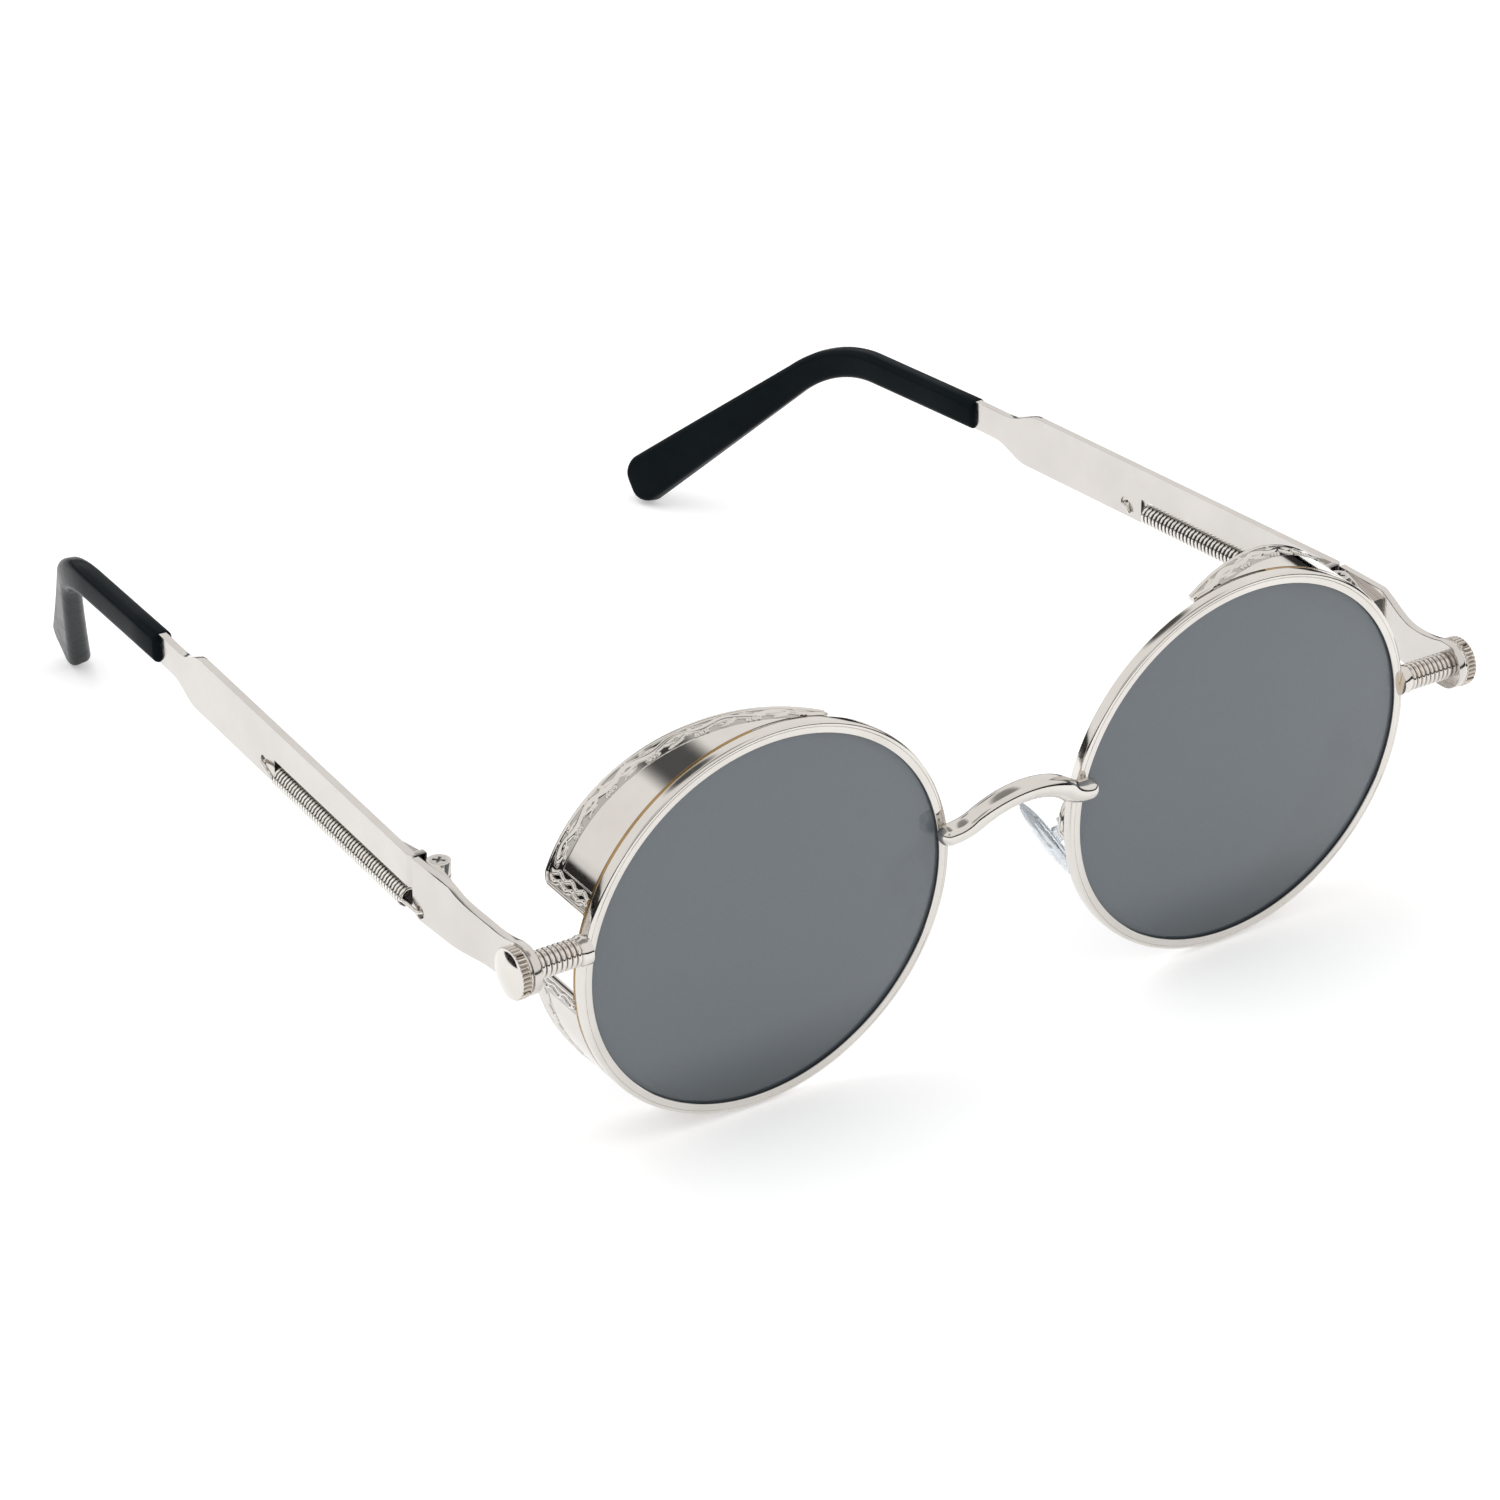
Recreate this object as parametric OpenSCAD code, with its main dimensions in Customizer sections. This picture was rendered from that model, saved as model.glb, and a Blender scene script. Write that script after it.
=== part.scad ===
// Round metal glasses with tinted lenses, brazed side shields, studded end pieces and sprung temples.
// The origin lies on the table, under the middle of the whole object; +X is the wearer's left,
// +Y points back along the temples and +Z is up.

/* [Lenses and rims] */
// Diameter of a lens, measured in the bottom of the rim groove
lens_d = 50; // [44:0.5:54]
// Clear space between the two lenses at the nose
bridge_gap = 20; // [17:0.5:24]
// Thickness of the lens sheet
lens_t = 0.9; // [0.7:0.1:1]
// Radius of the gentle curve of the lens
lens_curve_r = 240; // [160:10:400]
// Depth of the groove that holds the lens edge
groove_depth = 0.55; // [0.4:0.05:0.7]
// Metal outside the bottom of the groove
rim_wall = 0.9; // [0.7:0.05:1.4]
// Depth of the rim, front to back
rim_depth = 1.5; // [1.4:0.1:2.2]
// Width of the bevel on the outer front edge of the rim
rim_bevel = 0.3; // [0.1:0.05:0.5]
// Depth of the scribed line round the rim
scribe = 0.12; // [0.05:0.01:0.2]
// Lean of the lens plane, top forward
front_tilt = 4; // [0:0.5:10]

/* [Side shields] */
// Thickness of the shield sheet
shield_t = 0.6; // [0.4:0.05:0.8]
// Greatest depth of a shield behind the front of the rim
shield_depth = 10.7; // [7:0.1:13]
// Slant of the back edge of a shield
shield_slant = 18.8; // [10:0.2:22]
// Clock angle at which a shield is deepest, from the middle of the gap
shield_peak = 19.5; // [12:0.5:30]
// Clock angle of the middle of the gap between the two shields
shield_gap_mid = 5.5; // [0:0.5:10]
// Clock angle that the gap between the shields spans
shield_gap = 24; // [20:0.5:34]
// Clock angle that one shield spans
shield_span = 91; // [70:1:110]
// Radius of the back corner of a shield
shield_corner_r = 1.6; // [0.8:0.1:2.2]
// Width of the raised border along the back edge and the gap end
border_w = 2.9; // [2:0.1:3.6]
// Height of the raised border
border_h = 0.18; // [0.1:0.02:0.3]
// Depth of the brass seam between rim and shield
seam_depth = 0.35; // [0.25:0.05:0.6]

/* [Bridge] */
// Thickness of the bridge rod
bridge_d = 2.8; // [2.2:0.1:3.4]
// Height of the bridge ends above the lens centres
bridge_end_z = 4.7; // [2:0.1:8]
// Rise of the bridge between its ends and its top
bridge_rise = 3.8; // [2.5:0.1:5]
// Share of the arch radius that the middle arc has
bridge_crown = 0.64; // [0.5:0.01:0.75]
// Forward lean of the arch
bridge_lean = 16; // [0:1:30]
// Depth of the flat on the bridge ends where they lie on the rims
bridge_flat = 0.2; // [0.1:0.05:0.4]

/* [Studs and knobs] */
// Height of the stud axis above the lens centres
stud_z = 4.1; // [2:0.1:6]
// Distance of the stud axis behind the lens plane
stud_y = 0.4; // [0:0.1:1]
// Outer diameter of the stud
stud_d = 3.5; // [2.8:0.1:4]
// Length of the plain collar next to the rim
collar_len = 0.5; // [0.3:0.1:1.2]
// Number of rounded ridges on the stud
ridge_count = 9; // [6:1:11]
// Depth of the valleys between the ridges
ridge_depth = 0.28; // [0.15:0.01:0.3]
// Diameter of the screw shank inside the knob
shank_d = 2; // [1.6:0.1:2.4]
// Length of the screw shank beyond the stud
shank_len = 2.4; // [2:0.1:2.6]
// Outer diameter of the knob's knurled drum
knob_d = 6.4; // [5.6:0.1:7]
// Length of the knurled drum
knob_drum = 1.3; // [1:0.1:2]
// Outer diameter of the knob's plain neck
neck_d = 5.8; // [5:0.1:6.2]
// Length of the knob's plain neck
knob_neck = 0.35; // [0.2:0.05:0.6]
// Radius of the round edge of the knob's face
knob_edge_r = 0.45; // [0.3:0.05:0.6]
// Number of knurls round the drum
knurl_count = 36; // [24:1:40]
// Diameter of the round groove between two knurls
knurl_groove_d = 0.4; // [0.3:0.05:0.5]

/* [End pieces] */
// Distance of the end piece's inner face from the rim, at the stud
stud_len = 6.8; // [5.5:0.1:8]
// Thickness of the end pieces and temples
plate_t = 1.05; // [0.9:0.05:1.2]
// Radius of the round end that surrounds the stud
end_r = 3.1; // [2.6:0.05:3.4]
// Sideways step of the end piece between stud and hinge
joggle = 1; // [0.6:0.1:1.8]
// Distance from the stud to the start of the step
joggle_start = 6; // [5:0.2:7.4]
// Length of the step along the temple
joggle_len = 8; // [5:0.2:9]
// Distance from the stud axis back to the rear edge of the end piece
end_len = 22.2; // [20.5:0.1:26]
// Depth of the dip in the top edge behind the stud
top_dip = 0.9; // [0.3:0.1:1.2]
// Spare width of the hole round the screw shank
hole_spare = 0.3; // [0.1:0.05:0.5]

/* [Hinges] */
// Outer diameter of the hinge barrel
barrel_d = 2.9; // [2.5:0.1:3.3]
// Height of the top and bottom knuckles
knuckle_h = 1.75; // [1.5:0.05:2.1]
// Height of the middle knuckle
mid_knuckle_h = 1.7; // [1.4:0.05:1.9]
// Gap between two knuckles
knuckle_gap = 0.08; // [0.05:0.01:0.12]
// Distance from the rear edge of the end piece forward to the hinge pin
pin_ahead = 1.9; // [1.7:0.1:2.4]
// Drop of the barrel's top below the top edge of the plates
barrel_drop = 0.15; // [0:0.05:0.5]
// Diameter of the hinge screw's shank
pin_d = 1.4; // [1.2:0.1:1.6]
// Running clearance round the hinge screw
pin_clear = 0.05; // [0.02:0.01:0.08]
// Diameter of the hinge screw's head
screw_head_d = 2.1; // [1.9:0.1:2.3]
// Height of the hinge screw's head
screw_head_h = 0.7; // [0.5:0.1:0.9]
// Clear space between the barrel and the end piece
barrel_clear = 0.1; // [0.08:0.01:0.2]
// Thickness of the hinge leaves
leaf_t = 0.9; // [0.7:0.05:1.1]
// Length of the hinge leaves beyond the barrel
leaf_len = 6.3; // [5:0.1:8]

/* [Temples] */
// Gap between the end piece and the temple when open
seam_gap = 0.3; // [0.2:0.05:0.5]
// Inward angle of the open temples
toe_in = 4.65; // [0:0.05:6]
// Height of the temple's middle line above the lens centres
temple_z = 5; // [3:0.1:6]
// Height of the temple plate
temple_h = 7.6; // [6.8:0.1:8.4]
// Length of the temple plate before the neck
temple_len = 58; // [56:0.5:70]
// Length of each shoulder between plate and neck
shoulder_len = 6.5; // [4:0.1:9]
// Distance by which the lower shoulder lies behind the upper one
shoulder_shift = 2.2; // [0:0.1:4]
// Height of the neck
neck_h = 4; // [3.6:0.1:4.1]
// Length of the bare neck before the sleeve
neck_len = 4; // [1:0.1:8]
// Length of the flange folded inward at the front of the temple
flange_in = 1.2; // [0.9:0.05:1.5]

/* [Springs] */
// Outer diameter of the coil
spring_d = 2.8; // [2.6:0.05:3]
// Thickness of the spring wire
spring_wire = 0.5; // [0.4:0.02:0.52]
// Number of turns
spring_turns = 36; // [20:1:38]
// Height of the spring axis above the lower edge of the temple
spring_up = 0.8; // [0.6:0.05:1]
// Clear space between the coil and the end of its notch
spring_gap = 0.5; // [0.3:0.05:0.8]
// Length of the notch in the temple
notch_len = 37; // [34:0.5:42]
// Height of the notch
notch_h = 3.35; // [3.2:0.05:3.6]
// Diameter of the holes for the spring hooks
hook_hole_d = 1.5; // [1.4:0.05:1.7]
// Distance from the rear edge of the end piece forward to its hook hole
hook_ahead = 1.7; // [1.5:0.05:2]
// Distance from the notch back to the rear hook hole
hook_behind = 3.2; // [2.6:0.1:4]
// Height of the front hook hole above the lower edge of the temple
hook_front_up = 1.2; // [1.1:0.05:1.5]
// Height of the rear hook hole above the lower edge of the temple
hook_rear_up = 1.8; // [1.5:0.05:2.2]
// Length of the straight end of a hook
hook_free = 0.6; // [0.5:0.05:0.9]

/* [Temple tips] */
// Height of the sleeve
sleeve_h = 4.2; // [4.1:0.1:4.8]
// Width of the sleeve
sleeve_w = 2.8; // [2.7:0.1:3.4]
// Radius of the sleeve's long edges
sleeve_edge_r = 1.3; // [0.6:0.05:1.35]
// Length of the sleeve before the ear bend
sleeve_len = 21.5; // [17:0.5:26]
// Downward slope of the sleeve
sleeve_droop = 1.5; // [0:0.1:6]
// Radius of the ear bend along the middle of the sleeve
ear_bend_r = 21; // [15:0.5:27]
// Angle of the ear bend
ear_bend = 43.5; // [35:0.5:55]
// Inward roll of the ear bend
ear_roll = 24; // [0:0.5:30]
// Width of the paddle at the tip
paddle_w = 7; // [6:0.1:8.5]
// Thickness of the paddle at the tip
paddle_t = 3.2; // [2.6:0.1:3.4]
// Radius of the corners of the paddle's blunt end
paddle_corner_r = 2.7; // [1.5:0.1:2.9]
// Turn of the paddle's flat sides from the ear bend to its end
paddle_turn = 12; // [0:1:25]
// Height of the core bar inside the sleeve
core_h = 2.6; // [2:0.1:3]
// Thickness of the core bar inside the sleeve
core_t = 1; // [0.8:0.05:1.05]
// Length of the core bar past the ear bend
core_past = 12; // [6:0.5:18]
// Clear space between the core bar and the sleeve
core_clear = 0.05; // [0.03:0.01:0.1]

/* [Nose pads] */
// Distance of a pad's middle from the centre plane
pad_x = 11.3; // [10.6:0.1:12.4]
// Distance of a pad's middle behind the lens plane
pad_y = 6.9; // [6.6:0.1:8.6]
// Depth of a pad's middle below the lens centres
pad_drop = 6.1; // [5:0.1:7.5]
// Length of a pad
pad_len = 13; // [11:0.1:14.5]
// Width of a pad at its widest
pad_w = 7.2; // [6:0.1:7.8]
// Share of the width that a pad's upper end has
pad_taper = 0.7; // [0.55:0.05:0.85]
// Thickness of a pad
pad_t = 2.2; // [1.8:0.1:2.6]
// Inward lean of the pads' upper ends
pad_lean = 26; // [15:1:32]
// Backward turn of the pads
pad_splay = 32; // [20:1:38]
// Thickness of the pad arm wire
arm_d = 1.2; // [1:0.05:1.4]
// Clock angle of the arm's foot below the inner side of the rim
arm_foot_angle = 8; // [4:0.5:14]
// Height of the arm's goose neck above its foot
arm_rise = 3.4; // [2.6:0.1:4.4]
// Height of the little box that holds the pad
box_h = 3; // [2.6:0.1:3.6]
// Wall of the little box
box_wall = 0.5; // [0.4:0.05:0.7]
// Space between the pad and its box
pad_gap = 0.45; // [0.35:0.05:0.6]
// Width of the tab on the back of the pad
tab_w = 1.3; // [1.1:0.05:1.6]
// Radius of the round tab on the back of the pad
tab_r = 0.85; // [0.75:0.05:1]
// Clear space between the pad tab and its box
tab_clear = 0.12; // [0.08:0.01:0.2]
// Diameter of the pad screw
pad_screw_d = 0.9; // [0.7:0.05:1]
// Diameter of the pad screw's head
pad_head_d = 1.5; // [1.2:0.1:1.8]
// Height of the pad screw's head
pad_head_h = 0.3; // [0.2:0.05:0.5]

/* [Hidden] */
$fn = 64;

// Overshoot of a cutting shape past the faces that it cuts
cut = 1;
// Length that reaches past the whole of a rim or plate
far = 70;
// Facets of the nose pad's ends and of a knurl's groove
round_fn = 32;
groove_fn = 16;
// Flat sides round the bridge rod, the pad arm and the spring wire
rod_sides = 24;
arm_sides = 16;
wire_sides = 6;
// Rings of the spring wire in one turn of the coil
turn_rings = 8;
// Finishes
silver = "gainsboro";
smoke = [0.3, 0.33, 0.34, 0.8];
clear_plastic = [0.88, 0.92, 0.96, 0.7];
gloss_black = [0.06, 0.08, 0.09];
steel = "lightslategray";

// Lens and rim radii, and the distance of a lens centre from the middle
groove_r = lens_d / 2;
rim_in_r = groove_r - groove_depth;
rim_out_r = groove_r + rim_wall;
rim_mid_r = (rim_in_r + rim_out_r) / 2;
eye_x = (bridge_gap + lens_d) / 2;
lens_front = (rim_depth - lens_t) / 2;
floor_z = -max(rim_out_r * cos(front_tilt) - rim_bevel * sin(front_tilt),
    (rim_out_r + border_h) * cos(front_tilt) - (rim_depth + seam_depth) * sin(front_tilt));

// Stations along X of the stud, the knob, the end piece and the temple
rim_side_x = eye_x + rim_out_r;
plate_in_x = rim_side_x + stud_len;
plate_out_x = plate_in_x + plate_t;
temple_out_x = plate_out_x + joggle;
temple_in_x = temple_out_x - plate_t;
ridge_pitch = (stud_len - collar_len) / ridge_count;
joggle_end = stud_y + joggle_start + joggle_len;

// Edges of the plates, and the spring notch
temple_top = temple_z + temple_h / 2;
temple_low = temple_z - temple_h / 2;
notch_top = temple_low + notch_h;
end_rear_y = stud_y + end_len;
seam_y = end_rear_y + seam_gap;

// Hinge axis and knuckle heights
pin_x = temple_in_x - barrel_clear - barrel_d / 2;
pin_y = end_rear_y - pin_ahead;
barrel_top = temple_top - barrel_drop;
barrel_h = 2 * knuckle_h + mid_knuckle_h + 2 * knuckle_gap;
barrel_low = barrel_top - barrel_h;
mid_low = barrel_low + knuckle_h + knuckle_gap;

// Spring stations in the temple's own frame, which starts at the seam on the outer face
spring_z = temple_low + spring_up;
coil_r = (spring_d - spring_wire) / 2;
mid_plate = -plate_t / 2;
coil_front = 3 * spring_wire;
coil_rear = notch_len - spring_gap - spring_wire / 2;
hook_off = (hook_hole_d - spring_wire) / 4;
front_hole_y = -seam_gap - hook_ahead;
rear_hole_y = notch_len + hook_behind;
front_skew = sin(toe_in) * front_hole_y;

// Start of the sleeve in the temple's own frame
neck_end = temple_len + shoulder_len + shoulder_shift + neck_len;
sleeve_start = neck_end + sleeve_h / 2 * sin(sleeve_droop) + core_clear;

// Turn of a vector of the sleeve's frame into upright axes
function drooped(v) =
    [v[0], v[1] * cos(sleeve_droop) + v[2] * sin(sleeve_droop),
     v[2] * cos(sleeve_droop) - v[1] * sin(sleeve_droop)];

// Turn of a vector of the temple's frame into that of the glasses
function toed(v) = [v[0] * cos(toe_in) - v[1] * sin(toe_in), v[0] * sin(toe_in) + v[1] * cos(toe_in), v[2]];

// A point of the ear bend, the way that the sleeve runs there, and the way that its flat side faces
function bend_point(a) = let (
    along = [0, 1, 0],
    down = [-sin(ear_roll), 0, -cos(ear_roll)]
) [sleeve_len * along + ear_bend_r * (sin(a) * along + (1 - cos(a)) * down),
   cos(a) * along + sin(a) * down,
   cos(ear_roll) * [cos(ear_roll), 0, -sin(ear_roll)] + sin(ear_roll) * (sin(a) * along - cos(a) * down)];
bend_end = bend_point(ear_bend);

// The way that the flat side of the paddle faces where it has turned by an angle
function paddle_side(a) = bend_end[2] * cos(a) + cross(bend_end[1], bend_end[2]) * sin(a);
fall = drooped(bend_end[1]);
facing = drooped(paddle_side(paddle_turn));
broad = cross(fall, facing);

// Reach of the blunt end along one axis of a frame, from the line between the middles of its corners
paddle_edge_r = paddle_t / 4;
function reach(face, breadth) = (paddle_w / 2 - paddle_corner_r) * abs(breadth)
    + (paddle_corner_r - paddle_edge_r) * sqrt(1 - face * face)
    + (paddle_t / 2 - paddle_edge_r) * abs(face) + paddle_edge_r;

// Length of the paddle that brings the tip down to the table
paddle_len = (temple_z + drooped(bend_end[0])[2] - floor_z - reach(facing[2], broad[2])) / -fall[2];

// Foremost and rearmost points, used to centre the object over the origin
bridge_half = eye_x - sqrt(pow(rim_mid_r, 2) - pow(bridge_end_z, 2));
bridge_lap = bridge_flat - bridge_d / 2;
crown_y = bridge_lap - bridge_rise * sin(bridge_lean);
crown_z = bridge_end_z + bridge_rise * cos(bridge_lean);
front_y = crown_y * cos(front_tilt) - crown_z * sin(front_tilt) - bridge_d / 2;
tip_middle = toed([mid_plate, sleeve_start, 0] + drooped(bend_end[0]) + fall * paddle_len);
back_y = seam_y + tip_middle[1] + reach(toed(facing)[1], toed(broad)[1]);
middle_y = (front_y + back_y) / 2;

// Stations of the pad tab and its box, outward from the pad's middle
pad_back = pad_t / 2;
box_out = pad_back + pad_gap;
pivot_out = box_out + tab_r;
box_w = tab_w + 2 * (tab_clear + box_wall);
slot_end = pivot_out + tab_r + tab_clear;
box_end = slot_end + box_wall;

// One side of the glasses: 1 is the wearer's left, -1 the right. Everything is drawn about
// the point midway between the lens fronts and set on the table here.
module on_side(side)
    translate([0, -middle_y, -floor_z]) mirror([side < 0 ? 1 : 0, 0, 0]) children();

// The plane of one lens: X outward, Y back, Z up, clock angles from X towards Z
module at_lens() rotate([front_tilt, 0, 0]) translate([eye_x, 0, 0]) children();

// A profile of [radius, depth behind the rim front] turned about the lens axis
module turned(from = 0, span = 360)
    rotate([-90, 0, 0]) mirror([0, 1, 0]) rotate([0, 0, from]) rotate_extrude(angle = span) children();

// The frame of an open temple: origin at the seam on the outer face
module at_temple() translate([temple_out_x, seam_y, 0]) rotate([0, 0, toe_in]) children();

// The start of the sleeve
module at_sleeve() translate([mid_plate, sleeve_start, temple_z]) rotate([-sleeve_droop, 0, 0]) children();

// The frame of one nose pad: X outward through its back, Z along it
module at_pad()
    translate([pad_x, pad_y, -pad_drop]) rotate([0, 0, -pad_splay]) rotate([0, -pad_lean, 0]) children();

// A point of the pad's frame in the frame of the glasses
function pad_point(p) = let (
    x = p[0] * cos(pad_lean) - p[2] * sin(pad_lean),
    z = p[0] * sin(pad_lean) + p[2] * cos(pad_lean)
) [pad_x + x * cos(pad_splay) + p[1] * sin(pad_splay),
   pad_y - x * sin(pad_splay) + p[1] * cos(pad_splay),
   z - pad_drop];

// A point on the cubic curve with ends a and d and handles b and c, and a row of such points
function curve_point(a, b, c, d, t) =
    pow(1 - t, 3) * a + 3 * pow(1 - t, 2) * t * b + 3 * (1 - t) * t * t * c + pow(t, 3) * d;
function curve(a, b, c, d, n) = [for (i = [0:n]) curve_point(a, b, c, d, i / n)];

// An S-shaped rise from 0 to 1
function ease(t) = (1 - cos(180 * t)) / 2;

// Direction of a line at one of its points
function heading(line, i) = let (
    v = line[min(i + 1, len(line) - 1)] - line[max(i - 1, 0)]
) v / norm(v);

// Cross axes of a tube, carried along its line without twist
function carried(line, i, side) = let (
    t = heading(line, i),
    s = side - t * (side * t),
    u = s / norm(s)
) concat([[u, cross(t, u)]], i == len(line) - 1 ? [] : carried(line, i + 1, u));

// A closed skin through rings of points, each with the same number of points
module skin(rings) {
    count = len(rings[0]);
    last = len(rings) - 1;
    sides = [for (i = [0:last - 1], k = [0:count - 1])
        let (a = i * count + k, b = i * count + (k + 1) % count)
        each [[a, b + count, b], [a, a + count, b + count]]];
    end = last * count;
    caps = [for (k = [1:count - 2]) each [[0, k, k + 1], [end, end + k + 1, end + k]]];
    polyhedron([for (ring = rings) each ring], concat(sides, caps));
}

// A closed tube of flat sides along a line, with one diameter at each point of the line
module tube(line, diameters, sides) {
    axes = carried(line, 0, [0, 0, 1]);
    skin([for (i = [0:len(line) - 1]) [for (k = [0:sides - 1]) let (a = 360 * k / sides)
        line[i] + diameters[i] / 2 * (cos(a) * axes[i][0] + sin(a) * axes[i][1])]]);
}

// The round rim with its lens groove, outer bevel and scribed line
module rim(side) {
    line_at = 2 * rim_bevel;
    color(silver) on_side(side) at_lens() turned() difference() {
        polygon([
            [rim_in_r, 0],
            [rim_out_r - rim_bevel, 0],
            [rim_out_r, rim_bevel],
            [rim_out_r, line_at],
            [rim_out_r - scribe, line_at + scribe],
            [rim_out_r, line_at + 2 * scribe],
            [rim_out_r, rim_depth],
            [rim_in_r, rim_depth]
        ]);
        translate([rim_in_r - cut, lens_front]) square([groove_depth + cut, lens_t]);
    }
}

// Sag of the lens curve at a radius
function sag(r) = lens_curve_r - sqrt(lens_curve_r * lens_curve_r - r * r);

// The tinted lens, flat at its edge in the groove and gently domed inside the rim
module lens(side) {
    steps = 10;
    dome = [for (i = [0:steps]) let (r = rim_in_r * (steps - i) / steps) [r, sag(r) - sag(rim_in_r)]];
    color(smoke) on_side(side) at_lens() turned() translate([0, lens_front]) polygon(concat(
        [[groove_r, lens_t], [groove_r, 0]],
        dome,
        [for (i = [0:steps]) dome[steps - i] + [0, lens_t]]
    ));
}

// Half of the bridge's middle line: a crown arc that runs into a foot arc, then a round end
function half_arch() = let (
    steps = 8,
    arch_angle = 2 * atan(bridge_rise / bridge_half),
    arch_r = bridge_half / sin(arch_angle),
    crown_r = arch_r * bridge_crown,
    foot_r = arch_r - crown_r,
    round_r = bridge_d / 2,
    round_steps = 5,
    round_turn = 85
) concat(
    [for (i = [0:steps]) let (a = arch_angle * i / steps)
        [crown_r * sin(a), bridge_rise - crown_r * (1 - cos(a)), bridge_d]],
    [for (i = [1:steps]) let (a = arch_angle * (1 - i / steps))
        [bridge_half - foot_r * sin(a), foot_r * (1 - cos(a)), bridge_d]],
    [for (i = [1:round_steps]) let (a = round_turn * i / round_steps)
        [bridge_half + round_r * sin(a), 0, bridge_d * cos(a)]]
);

// The arched bridge rod, its round ends laid on the fronts of the rims
module bridge() {
    half = half_arch();
    last = len(half) - 1;
    whole = concat(
        [for (i = [0:last]) let (p = half[last - i]) [-p[0], p[1], p[2]]],
        [for (i = [1:last]) half[i]]
    );
    line = [for (p = whole)
        [p[0], bridge_lap - p[1] * sin(bridge_lean), bridge_end_z + p[1] * cos(bridge_lean)]];
    color(silver) on_side(1) rotate([front_tilt, 0, 0]) difference() {
        tube(line, [for (p = whole) p[2]], rod_sides);
        for (x = [-eye_x, eye_x]) translate([x, 0, 0]) rotate([-90, 0, 0])
            cylinder(r = rim_out_r, h = bridge_d);
    }
}

// Half-space in front of the slanted back edge of a shield, moved forward by a margin
module ahead_of_back(margin) {
    turn = shield_gap_mid + shield_peak;
    rotate([0, -turn, 0]) translate([rim_out_r, shield_depth - margin / cos(shield_slant), 0])
        rotate([0, 0, shield_slant]) translate([-far, -far, -far / 2]) cube([2 * far, far, far]);
}

// A curved sheet behind the rim between two clock angles, raised by a height
module shield_sheet(from, span, up) {
    start = rim_depth + seam_depth;
    turned(from, span) translate([rim_out_r - shield_t, start])
        square([shield_t + up, shield_depth + cut - start]);
}

// Cutter that rounds the back corner of a shield at its gap end
module corner_cut(from) {
    turn = asin(shield_corner_r / rim_out_r) + shield_gap / 2 - shield_peak;
    corner_y = shield_depth - rim_out_r * (1 - cos(turn)) * tan(shield_slant) - shield_corner_r;
    side = shield_t + cut;
    rotate([0, -from, 0]) translate([rim_out_r - side, corner_y, 0]) difference() {
        translate([0, 0, -cut]) cube([2 * side, far, shield_corner_r + cut]);
        translate([-cut, 0, shield_corner_r]) rotate([0, 90, 0])
            cylinder(r = shield_corner_r, h = 2 * (side + cut));
    }
}

// One shield, drawn above the gap: the sheet, its raised border and its brass seam
module shield_form() {
    from = shield_gap_mid + shield_gap / 2;
    border_span = border_w / rim_out_r * 180 / PI;
    difference() {
        intersection() {
            union() {
                shield_sheet(from, shield_span, 0);
                shield_sheet(from, border_span, border_h);
                difference() {
                    shield_sheet(from, shield_span, border_h);
                    ahead_of_back(border_w);
                }
            }
            ahead_of_back(0);
        }
        corner_cut(from);
    }
    turned(from, shield_span) translate([rim_out_r - shield_t, rim_depth])
        square([shield_t - border_h, seam_depth]);
}

module upper_shield(side) color(silver) on_side(side) at_lens() shield_form();

// The lower shield is the upper one turned over about the middle of the gap
module lower_shield(side)
    color(silver) on_side(side) at_lens()
        rotate([0, -shield_gap_mid, 0]) mirror([0, 0, 1]) rotate([0, shield_gap_mid, 0]) shield_form();

// The ridged stud between rim and end piece, with its screw shank
module stud(side) {
    foot_x = eye_x + rim_out_r - stud_d;
    ridge_r = ridge_pitch / 2;
    color(silver) on_side(side) difference() {
        translate([0, stud_y, stud_z]) rotate([0, 90, 0]) rotate_extrude() {
            translate([0, foot_x]) square([stud_d / 2 - ridge_depth, plate_in_x - foot_x]);
            translate([0, foot_x]) square([stud_d / 2, rim_side_x + collar_len - foot_x]);
            for (i = [1:ridge_count])
                translate([stud_d / 2 - ridge_r, plate_in_x - ridge_pitch * i + ridge_r]) circle(r = ridge_r);
            translate([0, plate_in_x]) square([shank_d / 2, shank_len]);
        }
        at_lens() translate([0, -far / 2, 0]) rotate([-90, 0, 0]) cylinder(r = rim_out_r, h = far);
    }
}

// Half profile of the knob: plain neck, drum, and a face with a round edge
module knob_profile() {
    drum_end = knob_neck + knob_drum;
    square([neck_d / 2, knob_neck]);
    translate([0, knob_neck]) square([knob_d / 2, knob_drum]);
    translate([0, drum_end]) square([knob_d / 2 - knob_edge_r, knob_edge_r]);
    intersection() {
        translate([knob_d / 2 - knob_edge_r, drum_end]) circle(r = knob_edge_r);
        translate([0, drum_end]) square([knob_d / 2, knob_edge_r]);
    }
}

// The knurled thumb nut with its blind bore
module knob(side)
    color(silver) on_side(side) translate([plate_out_x, stud_y, stud_z]) rotate([0, 90, 0]) difference() {
        rotate_extrude() knob_profile();
        translate([0, 0, -cut]) cylinder(d = shank_d, h = shank_len - plate_t + cut);
        for (i = [1:knurl_count]) rotate([0, 0, 360 * i / knurl_count])
            translate([knob_d / 2, 0, knob_neck - cut])
                cylinder(d = knurl_groove_d, h = knob_drum + knob_edge_r + 2 * cut, $fn = groove_fn);
    }

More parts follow.
